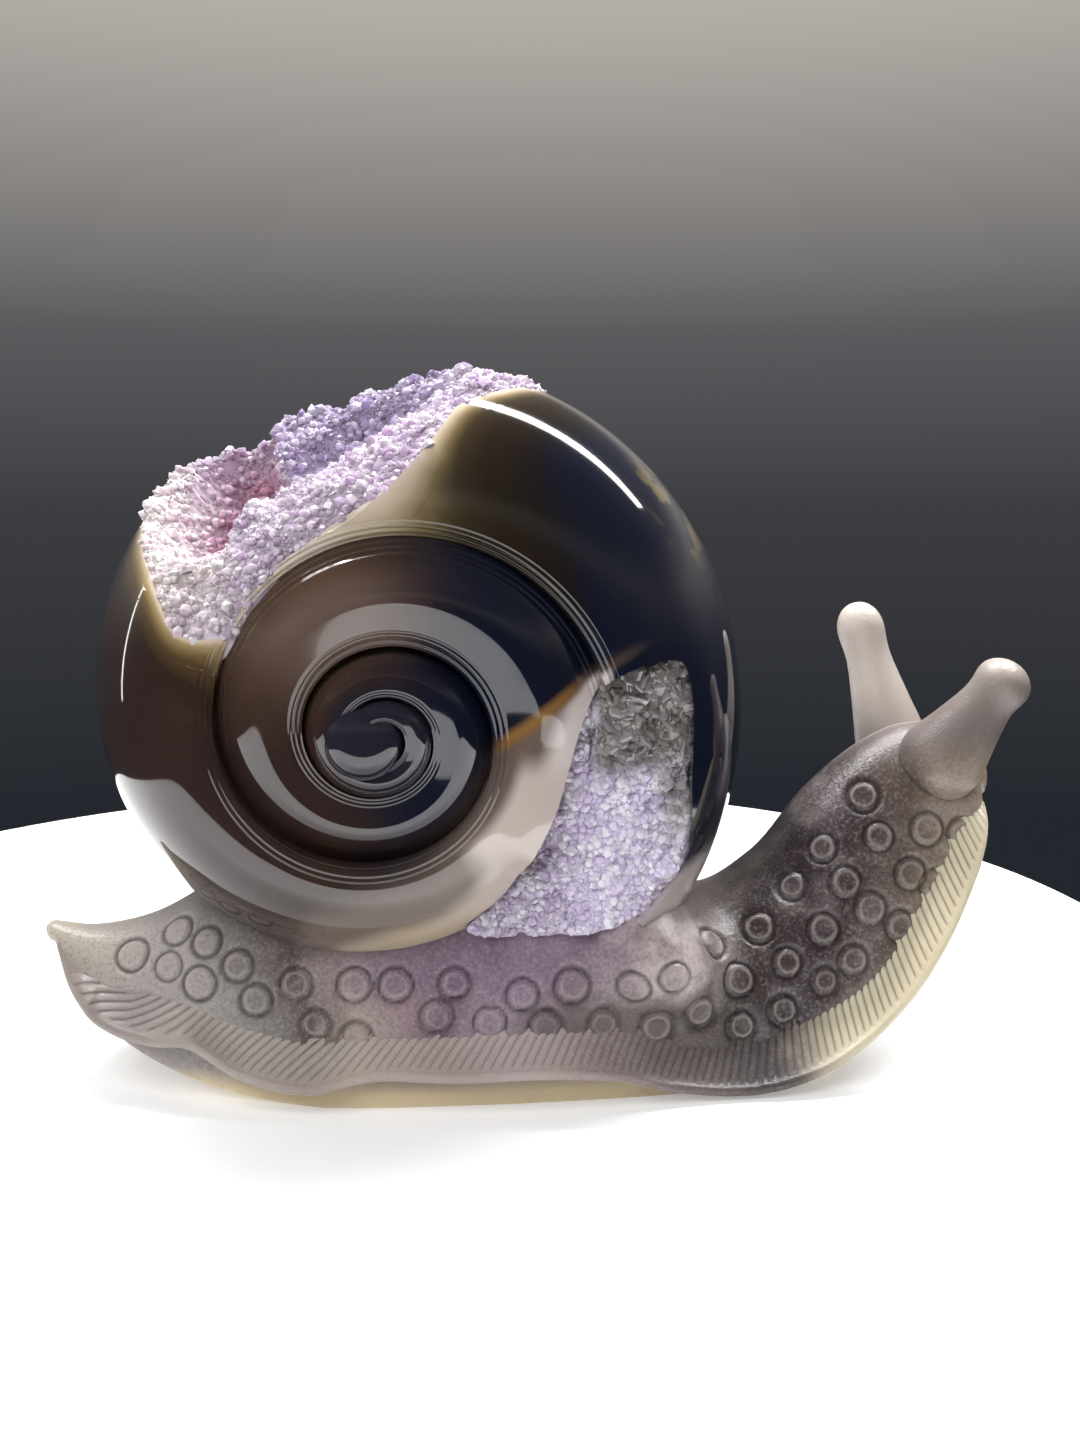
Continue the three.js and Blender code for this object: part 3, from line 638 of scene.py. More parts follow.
def whorl_piece(name, first, last, columns, rows=WHORL_ROWS):
    """Turn of the coil with both its faces, closed through the middle of the shell."""
    half = rows // 2

    def place(along, around):
        degrees = first + (last - first) * along
        step = np.rint(around * rows)
        near = step <= half
        index = np.where(near, step, rows - step)
        radius, height = whorl_profile(degrees, np.clip(index - 1, 0, half - 2), half - 2)
        height = np.where((index == 0) | (index == half), 0, height)
        return coil_point(degrees, radius, np.where(near, -1, 1) * height)

    return close_piece(sheet_piece(name, columns, rows, place))


# Crown.
def crown_matrix():
    turn, lean = math.radians(CROWN_ANGLE), math.radians(CROWN_TILT)
    out = Vector((math.cos(turn) * math.cos(lean), -math.sin(lean), math.sin(turn) * math.cos(lean)))
    along = Vector((math.sin(turn), 0, -math.cos(turn)))
    matrix = Matrix((along, out.cross(along), out)).transposed().to_4x4()
    middle = coil_point(np.array(float(CROWN_ANGLE)), np.array(float(CROWN_RADIUS)), -CROWN_SIDE)
    matrix.translation = Vector(middle)
    return np.array(matrix)


CROWN = crown_matrix()
CROWN_OUT = CROWN[:3, 2]


def from_crown(local):
    return local @ CROWN[:3, :3].T + CROWN[:3, 3]


def to_crown(points):
    return (points - CROWN[:3, 3]) @ CROWN[:3, :3]


def ball_reach(ball, x, y):
    """Share of the way from the middle of an ellipsoid of the crown to its side."""
    turn = math.radians(ball["turn"])
    dx, dy = x - ball["along"], y - ball["across"]
    along = (dx * math.cos(turn) + dy * math.sin(turn)) / ball["length"]
    across = (dy * math.cos(turn) - dx * math.sin(turn)) / ball["width"]
    return np.hypot(along, across)


def ball_floor(ball, x, y):
    """Height of an ellipsoid's underside, rising steeply outside it."""
    reach, depth = ball_reach(ball, x, y), ball["depth"]
    return ball["rise"] - depth * np.sqrt(np.maximum(0, 1 - reach**2)) + 2 * depth * np.maximum(0, reach - 1)


def in_whorl(points):
    """Which points lie inside the last whorl."""
    dx, dz = points[:, 0] - COIL_X, points[:, 2] - COIL_Z
    degrees, radius = np.degrees(np.arctan2(dz, dx)) % 360, np.hypot(dx, dz)
    return (np.abs(points[:, 1]) < whorl_height(degrees, radius)) & (radius < coil_radius(degrees))


def lining_outline(widen, count):
    corners = np.array(LINING_CORNERS, float)
    corners = corners + widen * unit(corners - LINING_MIDDLE)
    return closed_line(np.column_stack([corners, np.zeros(len(corners))]), count)


def crown_distance(x, y):
    """Distance from the outline of the crystals of the crown."""
    return outline_distance(x, y, lining_outline(0, 90)[:, :2])


def crown_maps():
    """Height of the uncut shell and distance from the lining's outline, over a grid of the crown."""
    counts = ((CROWN_HIGH - CROWN_LOW) / CROWN_STEP).astype(int) + 1
    sides = [low + CROWN_STEP * np.arange(count) for low, count in zip(CROWN_LOW, counts)]
    flat = np.stack(np.meshgrid(*sides, indexing="ij"), -1).reshape(-1, 2)
    shell = np.full(len(flat), np.nan)
    for height in np.arange(SEARCH_TOP, SEARCH_LOW, -SEARCH_STEP):
        still = np.flatnonzero(np.isnan(shell))
        level = np.column_stack([flat[still], np.full(len(still), height)])
        shell[still[in_whorl(from_crown(level))]] = height
    shell = np.nan_to_num(shell, nan=SEARCH_LOW)
    return shell.reshape(counts), crown_distance(*flat.T).reshape(counts)


SHELL_MAP, OUTLINE_MAP = crown_maps()


def read_map(values, x, y):
    """Value of a grid of the crown between its points."""
    place = (np.stack([x, y], -1) - CROWN_LOW) / CROWN_STEP
    place = np.clip(place, 0, np.array(values.shape) - 1.001)
    i, j = np.floor(place).astype(int).T
    u, v = (place - np.floor(place)).T
    near = values[i, j] * (1 - v) + values[i, j + 1] * v
    far = values[i + 1, j] * (1 - v) + values[i + 1, j + 1] * v
    return near * (1 - u) + far * u


def crown_cut(x, y):
    """Height of the scooped face, which meets the shell in a bevel along the lining's outline."""
    floor = soft_min(ball_floor(SCOOP, x, y), ball_floor(TONGUE, x, y), 1.0)
    shell, outline = read_map(SHELL_MAP, x, y), read_map(OUTLINE_MAP, x, y)
    depth = np.maximum(0, BEVEL_DEPTH - BEVEL_SLOPE * outline)
    return np.maximum(floor, shell - depth + 0.3 * smoothstep(outline, 0.5, 3.0))


def crown_top(x, y):
    """Height the crystals reach: the shell's own, with a peak by the tail and a sunk, notched ridge."""
    inside = smoothstep(-read_map(OUTLINE_MAP, x, y), 0.3, 4.0)
    peak = smoothstep(x, 4.0, -1.0) * smoothstep(y, -18.0, -6.0) * inside
    sunk = RIDGE_SINK * smoothstep(x, 2.0, 6.0) * (1 - smoothstep(x, 20.0, 30.0))
    for place in RIDGE_NOTCHES:
        sunk = sunk + NOTCH_DEPTH * np.exp(-(((x - place - NOTCH_SLANT * y) / NOTCH_WIDTH) ** 2))
    return read_map(SHELL_MAP, x, y) + PEAK_LIFT * peak - sunk * smoothstep(y, -6.0, 3.0), peak


def crown_ground(x, y):
    """Height of the crystal ground, rough, with the hollow and the valley in it."""
    top, peak = crown_top(x, y)
    ridge = smoothstep(y, -4.0, 6.0)
    ground = np.minimum(crown_cut(x, y) - LEDGE_SINK * (0.5 - 0.7 * ridge), top)
    ground = ground + (top - ground) * peak
    ground = soft_min(ground, ball_floor(HOLLOW, x, y), 0.6)
    ground = soft_min(ground, ball_floor(VALLEY, x, y), 0.7)
    return ground + (0.4 + 0.35 * ridge) * waves(x, y, *CROWN_WAVES)


def crown_sheet(name, height, spacing, way):
    """Block over a surface of the crown."""
    wide = CROWN_HIGH - CROWN_LOW
    columns, rows = np.ceil(wide / spacing).astype(int)

    def place(along, around):
        x, y = CROWN_LOW[0] + wide[0] * along, CROWN_LOW[1] + wide[1] * around
        return from_crown(np.stack([x, y, np.minimum(height(x, y), CROWN_TOP)], -1))

    return push_piece(sheet_piece(name, columns, rows, place), CROWN_OUT * way)


def scoop_block():
    return crown_sheet("scoop", crown_cut, SCOOP_SPACING, 60)


def lining_block(name, widen):
    outline = lining_outline(widen, 160)
    outline[:, 2] = -CROWN_DEPTH - widen
    return outline_block(name, from_crown(outline), CROWN_OUT * (CROWN_TOP + CROWN_DEPTH))


# Mouth.
def mouth_outline(corners, count):
    angles, shares = np.array(corners, float).T
    return closed_line(coil_point(angles, shares * coil_radius(angles), 0.0), count)


def mouth_slope(z):
    return (z - COIL_Z) * math.tan(math.radians(MOUTH_TILT))


def mouth_block(name, corners, floor, face=3 * MOUTH_FACE):
    """Block under an outline of the mouth, from the floor to the face."""
    outline = mouth_outline(corners, 120)
    outline[:, 1] = -floor - mouth_slope(outline[:, 2])
    return outline_block(name, outline, (0, floor - face, 0))


def mark_layers(piece, crowned):
    """Distances from the cream zone beside the mouth and from the crystals of the crown."""
    points = points_of(piece) / MM
    lip = outline_distance(points[:, 0], points[:, 2], mouth_outline(CREAM_CORNERS, 90)[:, [0, 2]])
    keep_values(piece, "lip", np.where(points[:, 1] > 0, FAR, lip))
    x, y, z = to_crown(points).T
    crown = crown_distance(x, y)
    below = np.maximum(0, -CROWN_DEPTH - RIND_THICKNESS - z)
    crown = np.where(below > 0, np.hypot(np.maximum(crown, 0), below), crown)
    keep_values(piece, "crown", crown if crowned else np.full(len(crown), FAR))


# Crystals.
def crystal_model(shoulder):
    """One six-sided crystal point of unit size, with or without a shoulder under its tip."""
    piece = circle_piece("crystal", 6)
    put_points(piece, points_of(piece) - [0, 0, 0.5])
    edit_piece(piece)
    if shoulder:
        extrude((0, 0, 0.85))
        bpy.ops.transform.resize(value=(0.86, 0.86, 1))
    extrude((0, 0, 0.65 if shoulder else 1.3))
    bpy.ops.mesh.merge(type="CENTER")
    bpy.ops.mesh.select_all(action="SELECT")
    bpy.ops.mesh.normals_make_consistent(inside=False)
    bpy.ops.object.mode_set(mode="OBJECT")
    points = points_of(piece)
    faces = [tuple(face.vertices) for face in piece.data.polygons]
    bpy.data.objects.remove(piece)
    return points, faces


CRYSTAL_POINT = crystal_model(False)
CRYSTAL_PRISM = crystal_model(True)


def crystal_copies(name, model, spots, outs, radii, heights, tones, turns):
    """Copies of a crystal on spots, as one piece with a tone for each crystal."""
    points, faces = model
    helper = np.where(np.abs(outs[:, 2:]) < 0.9, [[0, 0, 1.0]], [[1.0, 0, 0]])
    side = unit(np.cross(outs, helper))
    other = np.cross(outs, side)
    c, s = np.cos(turns)[:, None], np.sin(turns)[:, None]
    first, second = side * c + other * s, other * c - side * s
    corners = (
        spots[:, None]
        + points[None, :, :1] * (first * radii[:, None])[:, None]
        + points[None, :, 1:2] * (second * radii[:, None])[:, None]
        + points[None, :, 2:] * (outs * heights[:, None])[:, None]
    )
    count = len(points)
    copied = [tuple(v + k * count for v in face) for k in range(len(spots)) for face in faces]
    mesh = bpy.data.meshes.new(name)
    mesh.from_pydata(corners.reshape(-1, 3) * MM, [], copied)
    piece = bpy.data.objects.new(name, mesh)
    bpy.context.collection.objects.link(piece)
    keep_values(piece, "tone", np.repeat(tones, count))
    return piece


def grow_crystals(crust, spots, outs, radii, random, flat=0.0, paleness=1.0):
    """Crystal points on the ground of a druse, joined to it."""
    keep_values(crust, "tone", np.full(len(crust.data.vertices), 0.5))
    heights = radii * random.uniform(0.8, 1.4, len(spots)) * (1 - flat)
    tones = random.random(len(spots)) ** (1 / paleness)
    turns = random.uniform(0, 6.28, len(spots))
    large = radii > PRISM_FROM
    grown = [
        crystal_copies("points", model, *(v[kind] for v in (spots, outs, radii, heights, tones, turns)))
        for model, kind in ((CRYSTAL_POINT, ~large), (CRYSTAL_PRISM, large))
    ]
    select_only(crust)
    for piece in grown:
        piece.select_set(True)
    bpy.ops.object.join()
    mark_druse(crust)
    return crust


def crystal_radii(count, random, largest):
    share = random.random(count)
    sizes = (SMALL_CRYSTAL, MIDDLE_CRYSTAL, (LARGE_CRYSTAL, largest))
    small, middle, large = [random.uniform(*size, count) for size in sizes]
    return np.where(share > LARGE_SHARE, large, np.where(share < SMALL_SHARE, small, middle))


def crown_spots(random):
    """Spots of the crystals of the crown and the ways they grow."""
    outline = lining_outline(0, 90)[:, :2]
    x, y = scatter(random, outline, CROWN_TRIES)
    z = crown_ground(x, y)
    step = SLOPE_STEP
    slope_x = (crown_ground(x + step, y) - crown_ground(x - step, y)) / (2 * step)
    slope_y = (crown_ground(x, y + step) - crown_ground(x, y - step)) / (2 * step)
    steep = np.minimum(np.hypot(slope_x, slope_y), STEEPEST)
    kept = random.random(CROWN_TRIES) < CROWN_DENSITY * np.sqrt(1 + steep**2)
    kept &= inside_outline(x, y, outline) & (z > -CROWN_DEPTH - 4)
    slopes = [np.clip(slope, -STEEPEST, STEEPEST) for slope in (slope_x, slope_y)]
    outs = unit(np.stack([-slopes[0], -slopes[1], np.ones(CROWN_TRIES)], -1) @ CROWN[:3, :3].T)
    outs = unit(outs + CROWN_SPREAD * random.normal(size=(CROWN_TRIES, 3)))
    return from_crown(np.stack([x, y, z], -1))[kept], outs[kept]


def mouth_ground(x, z):
    """Y of the crystal ground in the mouth, with a crease down its upper half."""
    dx, dz = x - COIL_X, z - COIL_Z
    crease = np.exp(-(((dx - 31.2 - 0.06 * (dz - 1)) / 0.9) ** 2)) * smoothstep(dz, -11, -5)
    sunk = 0.7 + smoothstep(dx, 36.0, 42.0)
    return sunk - MOUTH_FACE - mouth_slope(z) + 0.55 * waves(x, z, *MOUTH_WAVES) + 2.2 * crease


def mouth_spots(random):
    """Spots of the crystals of the mouth, the ways they grow and how smoky they are."""
    outline = mouth_outline(MOUTH_CORNERS, 90)[:, [0, 2]]
    x, z = scatter(random, outline, MOUTH_TRIES)
    smoke = smoky_share(x, z)
    kept = (outline_distance(x, z, outline) < -0.5) & (random.random(MOUTH_TRIES) > 0.5 * smoke)
    outs = np.array([0.0, -1.0, 0.0]) + MOUTH_SPREAD * random.normal(size=(MOUTH_TRIES, 3))
    outs[:, 1] = np.minimum(outs[:, 1], -0.2)
    return np.stack([x, mouth_ground(x, z), z], -1)[kept], unit(outs)[kept], smoke[kept]


def smoky_share(x, z):
    """Smoky quartz in the upper right of the mouth."""
    dx, dz = x - COIL_X, z - COIL_Z
    upper = smoothstep(dz, -9.5, -4.0) * smoothstep(dx, 30.2, 32.2)
    side = smoothstep(dx + 0.12 * dz, 38.0, 42.0) * smoothstep(dz, -24.0, -12.0)
    return np.maximum(upper, 0.8 * side)


def mark_druse(piece):
    """Zones of the crystals: pink, violet and white in the crown, lilac and smoky in the mouth. Violet is the
    ridge's colour and painted shade in the crown's valley; in the mouth it darkens the side towards the coil's
    middle.
    """
    points = points_of(piece) / MM
    x, y, _ = to_crown(points).T
    in_crown = points[:, 2] > COIL_Z + 14
    hollow = 1 - smoothstep(ball_reach(HOLLOW, x, y), 0.65, 1.12)
    # The crystals in the valley get the darker violet as painted shade.
    valley = 1 - smoothstep(ball_reach(VALLEY, x, y), 0.6, 1.1)
    ridge = np.maximum(smoothstep(y, -5.0, 5.0) * smoothstep(x, 1.0, 8.0), valley)
    white = smoothstep(x, -3.0, -9.0) * smoothstep(y, -32.0, -20.0)
    shade = 0.7 * (1 - smoothstep(points[:, 0] - COIL_X, 22.0, 32.0))
    keep_values(piece, "pink", hollow * in_crown)
    keep_values(piece, "violet", np.where(in_crown, ridge * (1 - hollow), shade))
    keep_values(piece, "lilac", np.where(in_crown, 0, 1 - 0.5 * shade))
    keep_values(piece, "white", white * (1 - hollow) * in_crown)
    keep_values(piece, "smoke", smoky_share(points[:, 0], points[:, 2]) * ~in_crown)


# Shell pieces.
def body_whorl():
    piece = whorl_piece("carved_body_whorl", LIP_END, LIP_TURN, 300)
    lining = lining_block("lining", RIND_THICKNESS)
    cut_piece(piece, scoop_block(), lining, mouth_block("mouth_cut", LIP_CORNERS, MOUTH_FLOOR))
    return smooth_piece(piece)


def crown_rind():
    piece = whorl_piece("carved_crown_rind", CROWN_ANGLE - 70, CROWN_ANGLE + 66, 110)
    cut_piece(piece, lining_block("rind_outline", RIND_THICKNESS), operation="INTERSECT")
    cut_piece(piece, lining_block("lining", 0), scoop_block())
    return smooth_piece(piece)


def crown_druse(random):
    crust = lining_block("carved_crown_druse", 0)
    cut_piece(crust, crown_sheet("ground", crown_ground, GROUND_SPACING, 90))
    spots, outs = crown_spots(random)
    radii = crystal_radii(len(spots), random, CROWN_LARGEST) * CROWN_SCALE
    return grow_crystals(crust, spots, outs, radii, random)


def mouth_lip():
    piece = whorl_piece("carved_mouth_lip", LIP_TURN - 135, LIP_TURN, 90)
    cut_piece(piece, mouth_block("lip_outline", LIP_CORNERS, MOUTH_FLOOR), operation="INTERSECT")
    cut_piece(piece, mouth_block("mouth_outline", MOUTH_CORNERS, 0))
    return smooth_piece(piece)


def mouth_druse(random):
    crust = mouth_block("carved_mouth_druse", MOUTH_CORNERS, MOUTH_FLOOR, 2 * MOUTH_FACE)
    low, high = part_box("mouth_druse")
    low, high = low / MM, high / MM

    def place(along, around):
        x = low.x - MOUTH_MARGIN + (high.x - low.x + 2 * MOUTH_MARGIN) * along
        z = low.z - MOUTH_MARGIN + (high.z - low.z + 2 * MOUTH_MARGIN) * around
        return np.stack([x, mouth_ground(x, z), z], -1)

    cut_piece(crust, push_piece(sheet_piece("ground", 80, 80, place), (0, -2 * MOUTH_FACE, 0)))
    spots, outs, smoke = mouth_spots(random)
    radii = crystal_radii(len(spots), random, MOUTH_LARGEST) * (0.85 + 0.75 * smoke)
    return grow_crystals(crust, spots, outs, radii, random, flat=0.72 * smoke, paleness=1.8)


def apex_knob():
    """Domed knob on both faces of the shell, spun from its outline."""

    def place(along, around):
        turn = 2 * np.pi * along
        tilt = np.clip(around, 0, 1) * np.pi
        radius = KNOB_RADIUS * np.sin(tilt) ** 0.8
        side = np.where(tilt < np.pi / 2, -1, 1)
        height = side * (KNOB_TOP - KNOB_RISE) - KNOB_RISE * np.cos(tilt)
        height = np.where(np.abs(tilt - np.pi / 2) < 1e-6, 0, height)
        return np.stack([KNOB_X + radius * np.cos(turn), height, COIL_Z + radius * np.sin(turn)], -1)

    return smooth_piece(close_piece(sheet_piece("carved_apex_knob", 64, 64, place)))


# Body pieces.
def body_frame(station):
    """Lower line, way up to the upper line, half width, wall power and chest bulge at stations."""
    low = spline(LOWER_LINE, station, False)
    high = spline([(x, 0, z) for x, z in UPPER_LINE], station, False)
    half = low[:, 1].copy()
    low[:, 1] = 0
    low[:, 2] = np.maximum(0, low[:, 2])
    raised = smoothstep(station, NECK_JOINT, NECK_TOP)
    power = WALL_POWER - (WALL_POWER - NECK_POWER) * raised
    return low + [BODY_SHIFT, 0, 0], high - low, half, power, CHEST_BULGE * raised


def body_wall(half, power, share):
    return half * (1 - np.clip(share, 0, 1) ** power) ** (1 / power)


def body_skin(station, row):
    """Skin of the body: up the near wall, down the far wall and back under it, then its middle."""
    low, rise, half, power, bulge = body_frame(station)
    wall_row = np.where(row <= WALL_ROWS, row, 2 * WALL_ROWS - row)
    share = np.sin(np.clip(wall_row / WALL_ROWS, 0, 1) * np.pi / 2)
    wall = low + rise * share[:, None]
    wall[:, 1] = np.where(row <= WALL_ROWS, -1, 1) * body_wall(half, power, share)
    across = 1 - 2 * (row - 2 * WALL_ROWS) / CHEST_ROWS
    chest = low - unit(rise) * (bulge * (1 - across**2))[:, None]
    chest[:, 1] = half * across
    return np.where((row > 2 * WALL_ROWS)[:, None], chest, wall), low + rise * CAP_MIDDLE


def body_surface(first, last, tail_cap, head_cap):
    """Length of the body between two stations, with a rounded cap on an end."""
    start, stop = CAP_SHARE * (tail_cap > 0), 1 - CAP_SHARE * (head_cap > 0)

    def place(along, around):
        station = first + (last - first) * np.clip((along - start) / (stop - start), 0, 1)
        points, middle = body_skin(station, around * BODY_ROWS)
        for depth, reach in ((-tail_cap, start - along), (head_cap, along - stop)):
            if depth:
                turn = np.clip(reach / CAP_SHARE, 0, 1) * np.pi / 2
                points = middle + (points - middle) * np.cos(turn)[:, None]
                points[:, 0] += depth * np.sin(turn)
        return points

    return place


def swell_shoulders(points):
    """Body wall pushed out beside the mouth, on both sides."""
    side = np.where(points[:, 1] < 0, 1.0, -1.0)
    x, y, z = points.T
    away = np.linalg.norm(np.stack([x, y * side, z], -1) - SHOULDER, axis=1)
    push = SHOULDER_PUSH * np.clip(1 - (away / SHOULDER_REACH) ** 2, 0, 1) ** 2
    return np.stack([x, y - side * push, z], -1)


def spot_places():
    """Middles of the ring spots on the near side of the body."""
    columns, rows = SPOT_GRID
    stations = np.repeat(np.linspace(0, 1, columns), rows)
    shares = np.tile(np.linspace(0, 0.98, rows), columns)
    low, rise, half, power, _ = body_frame(stations)
    wall = low + rise * shares[:, None]
    wall[:, 1] = -body_wall(half, power, shares)
    flat = wall[:, [0, 2]] - [BODY_SHIFT, 0]
    return swell_shoulders(np.array([wall[np.argmin(((flat - spot) ** 2).sum(1))] for spot in SPOTS]))


def carve_rings(piece, random):
    """Ring grooves with a raised lip inside, cut along the normals of the body wall."""
    points = points_of(piece) / MM
    normals = np.zeros(len(points) * 3)
    piece.data.vertices.foreach_get("normal", normals)
    normals = normals.reshape(-1, 3)
    normals *= np.sign((normals[:, 1] * points[:, 1]).sum())
    depth = np.zeros(len(points))
    near = spot_places()
    for middle in np.vstack([near, near * [1, -1, 1]]):
        size = SPOT_RADIUS * random.uniform(0.88, 1.06)
        wide = RING_WIDTH * random.uniform(0.85, 1.2)
        deep = RING_DEPTH * random.uniform(0.8, 1.15)
        away = np.linalg.norm(points - middle, axis=1)
        close = away < size + 3
        ring = away[close] - size
        groove = deep * np.exp(-((ring / wide) ** 2))
        depth[close] += groove - RING_LIP * np.exp(-(((ring + LIP_OFFSET) / LIP_WIDTH) ** 2))
    put_points(piece, (points - normals * np.minimum(depth, RING_DEEPEST)[:, None]) * MM)
    # The depth is kept for the painted shade in the grooves and the painted highlight on the lips.
    keep_values(piece, "groove", depth)


def body_piece(name, first, last, columns, tail_cap=0, head_cap=0):
    piece = sheet_piece(name, columns, BODY_ROWS, body_surface(first, last, tail_cap, head_cap))
    put_points(piece, swell_shoulders(points_of(piece) / MM) * MM)
    carve_rings(piece, np.random.default_rng(5))
    return smooth_piece(close_piece(piece), 60)


def hem_height(station):
    places = np.linspace(0, 1, len(HEM_LINE))
    corners = np.stack([places * 40, 0 * places, np.array(HEM_LINE)], -1)
    return np.maximum(HEM_LOW, spline(corners, station, False)[:, 2])


def line_run():
    """Length along the lower line up to each of its corners."""
    steps = 100
    fine = spline(LOWER_LINE, np.linspace(0, 1, steps * (len(LOWER_LINE) - 1) + 1), False)
    run = np.cumsum(np.linalg.norm(np.diff(fine[:, [0, 2]], axis=0), axis=1))
    return np.concatenate([[0], run])[::steps]


RUN = line_run()


def flutes(station, height, face):
    """Slanted flutes of the frill, each with its own upper end."""
    reach = np.interp(station, np.linspace(0, 1, len(RUN)), RUN)
    phase = (reach - np.interp(station, *FLUTE_SLANT) * height) / FLUTE_PITCH
    flute = np.exp(-(((phase % 1 - 0.5) / FLUTE_WIDTH) ** 2))
    # A fixed scatter of the upper ends from the number of the flute.
    start = 0.03 + 0.2 * (np.sin(np.floor(phase) * 12.9898) * 43758.5453 % 1)
    return flute * smoothstep(face, start, start + 0.22) * (1 - smoothstep(face, 0.92, 1.0))


def frill_skin(along, around, station, tall):
    """Height, reach and painted groove shade of the frill: face from the root down, round hem, back into the
    body.
    """
    end = np.clip(np.minimum(along, 1 - along) * FRILL_TAPER + FRILL_LEAST, 0, 1)
    hem = hem_height(station)
    root = hem + np.minimum(np.minimum(SKIRT_HEIGHT, SKIRT_ROOT - hem), 0.5 * tall) * end
    spread = (SKIRT_FLARE + SKIRT_WAVE * np.sin(station * SKIRT_WAVES * 2 * np.pi)) * end
    edge = SKIRT_EDGE * end
    face = np.clip(around / FRILL_FACE, 0, 1)
    height = root + (hem + 2 * edge - root) * face
    out = spread * face**FACE_CURVE - ROOT_SINK * (1 - face) ** 2
    bend = around > FRILL_FACE
    turn = np.clip((around - FRILL_FACE) / FRILL_HEM, 0, 1) * np.pi
    height = np.where(bend, hem + edge + edge * np.cos(turn), height)
    out = np.where(bend, spread + HEM_ROUND * edge * np.sin(turn), out)
    inside = around > 1 - FRILL_BACK
    back = np.clip((around - (1 - FRILL_BACK)) / FRILL_BACK, 0, 1)
    height = np.where(inside, hem + (root - hem) * back, height)
    out = np.where(inside, spread * (1 - back) ** 2 - BACK_SINK * np.sqrt(back), out)
    # The third value returned is the strength of painted shade: in the flutes and a little on the hem.
    cut = np.where(bend, 0, flutes(station, height, face) * end)
    return height, out - FLUTE_DEPTH * cut, np.where(bend, HEM_SHADE, FLUTE_SHADE * cut)


def frill_piece(name, side):
    """Fluted frill along one side of the foot."""
    grooves = []

    def place(along, around):
        station = FRILL_START + FRILL_LENGTH * along
        low, rise, half, power, _ = body_frame(station)
        tall = np.linalg.norm(rise, axis=1)
        height, out, groove = frill_skin(along, around, station, tall)
        grooves.append(groove)
        points = low + unit(rise) * height[:, None]
        points[:, 1] = side * (body_wall(half, power, height / tall) + out)
        return points

    piece = sheet_piece(name, *FRILL_GRID, place)
    # The groove value of the frill is the strength of its painted shade.
    keep_values(piece, "groove", grooves[0])
    return smooth_piece(close_piece(piece), 60)


def tentacle(name, side, root, way, wide):
    """Stalk grown ring by ring from its root on the brow to the rounded eye bulb."""
    low, rise, half, power, _ = (value[0] for value in body_frame(np.array([STALK_STATION])))
    reach = STALK_SIDE * float(body_wall(half, power, np.array(0.6)))
    root = Vector(low + rise) + Vector((root[0], side * reach, root[1]))
    way = Vector(way)
    length = STALK_SHARE * way.length * MM
    piece = circle_piece(name, 28, wide * STALK_PROFILE[0][1] * MM)
    edit_piece(piece)
    for (share, radius), (next_share, next_radius) in zip(STALK_PROFILE, STALK_PROFILE[1:]):
        extrude((0, 0, (next_share - share) * length))
        bpy.ops.transform.resize(value=(next_radius / radius,) * 2 + (1,))
    extrude((0, 0, STALK_TIP * MM))
    bpy.ops.transform.resize(value=(0.35, 0.35, 1))
    bpy.ops.object.mode_set(mode="OBJECT")
    bpy.ops.object.modifier_add(type="SUBSURF")
    piece.modifiers[-1].levels = 2
    bpy.ops.object.modifier_apply(modifier=piece.modifiers[-1].name)
    turn = way.to_track_quat("Z", "Y").to_matrix().to_4x4()
    sunk = Matrix.Translation((0, 0, STALK_PROFILE[0][0] * length))
    piece.data.transform(Matrix.Translation(root * MM) @ turn @ sunk)
    return smooth_piece(piece, 60)


# Nodes of the finishes.
def new_node(tree, kind, inputs, **settings):
    made = tree.nodes.new(kind)
    for key, value in settings.items():
        setattr(made, key, value)
    for key, value in inputs.items():
        if isinstance(value, Value):
            tree.links.new(value.socket, made.inputs[key])
        else:
            made.inputs[key].default_value = value
    return made


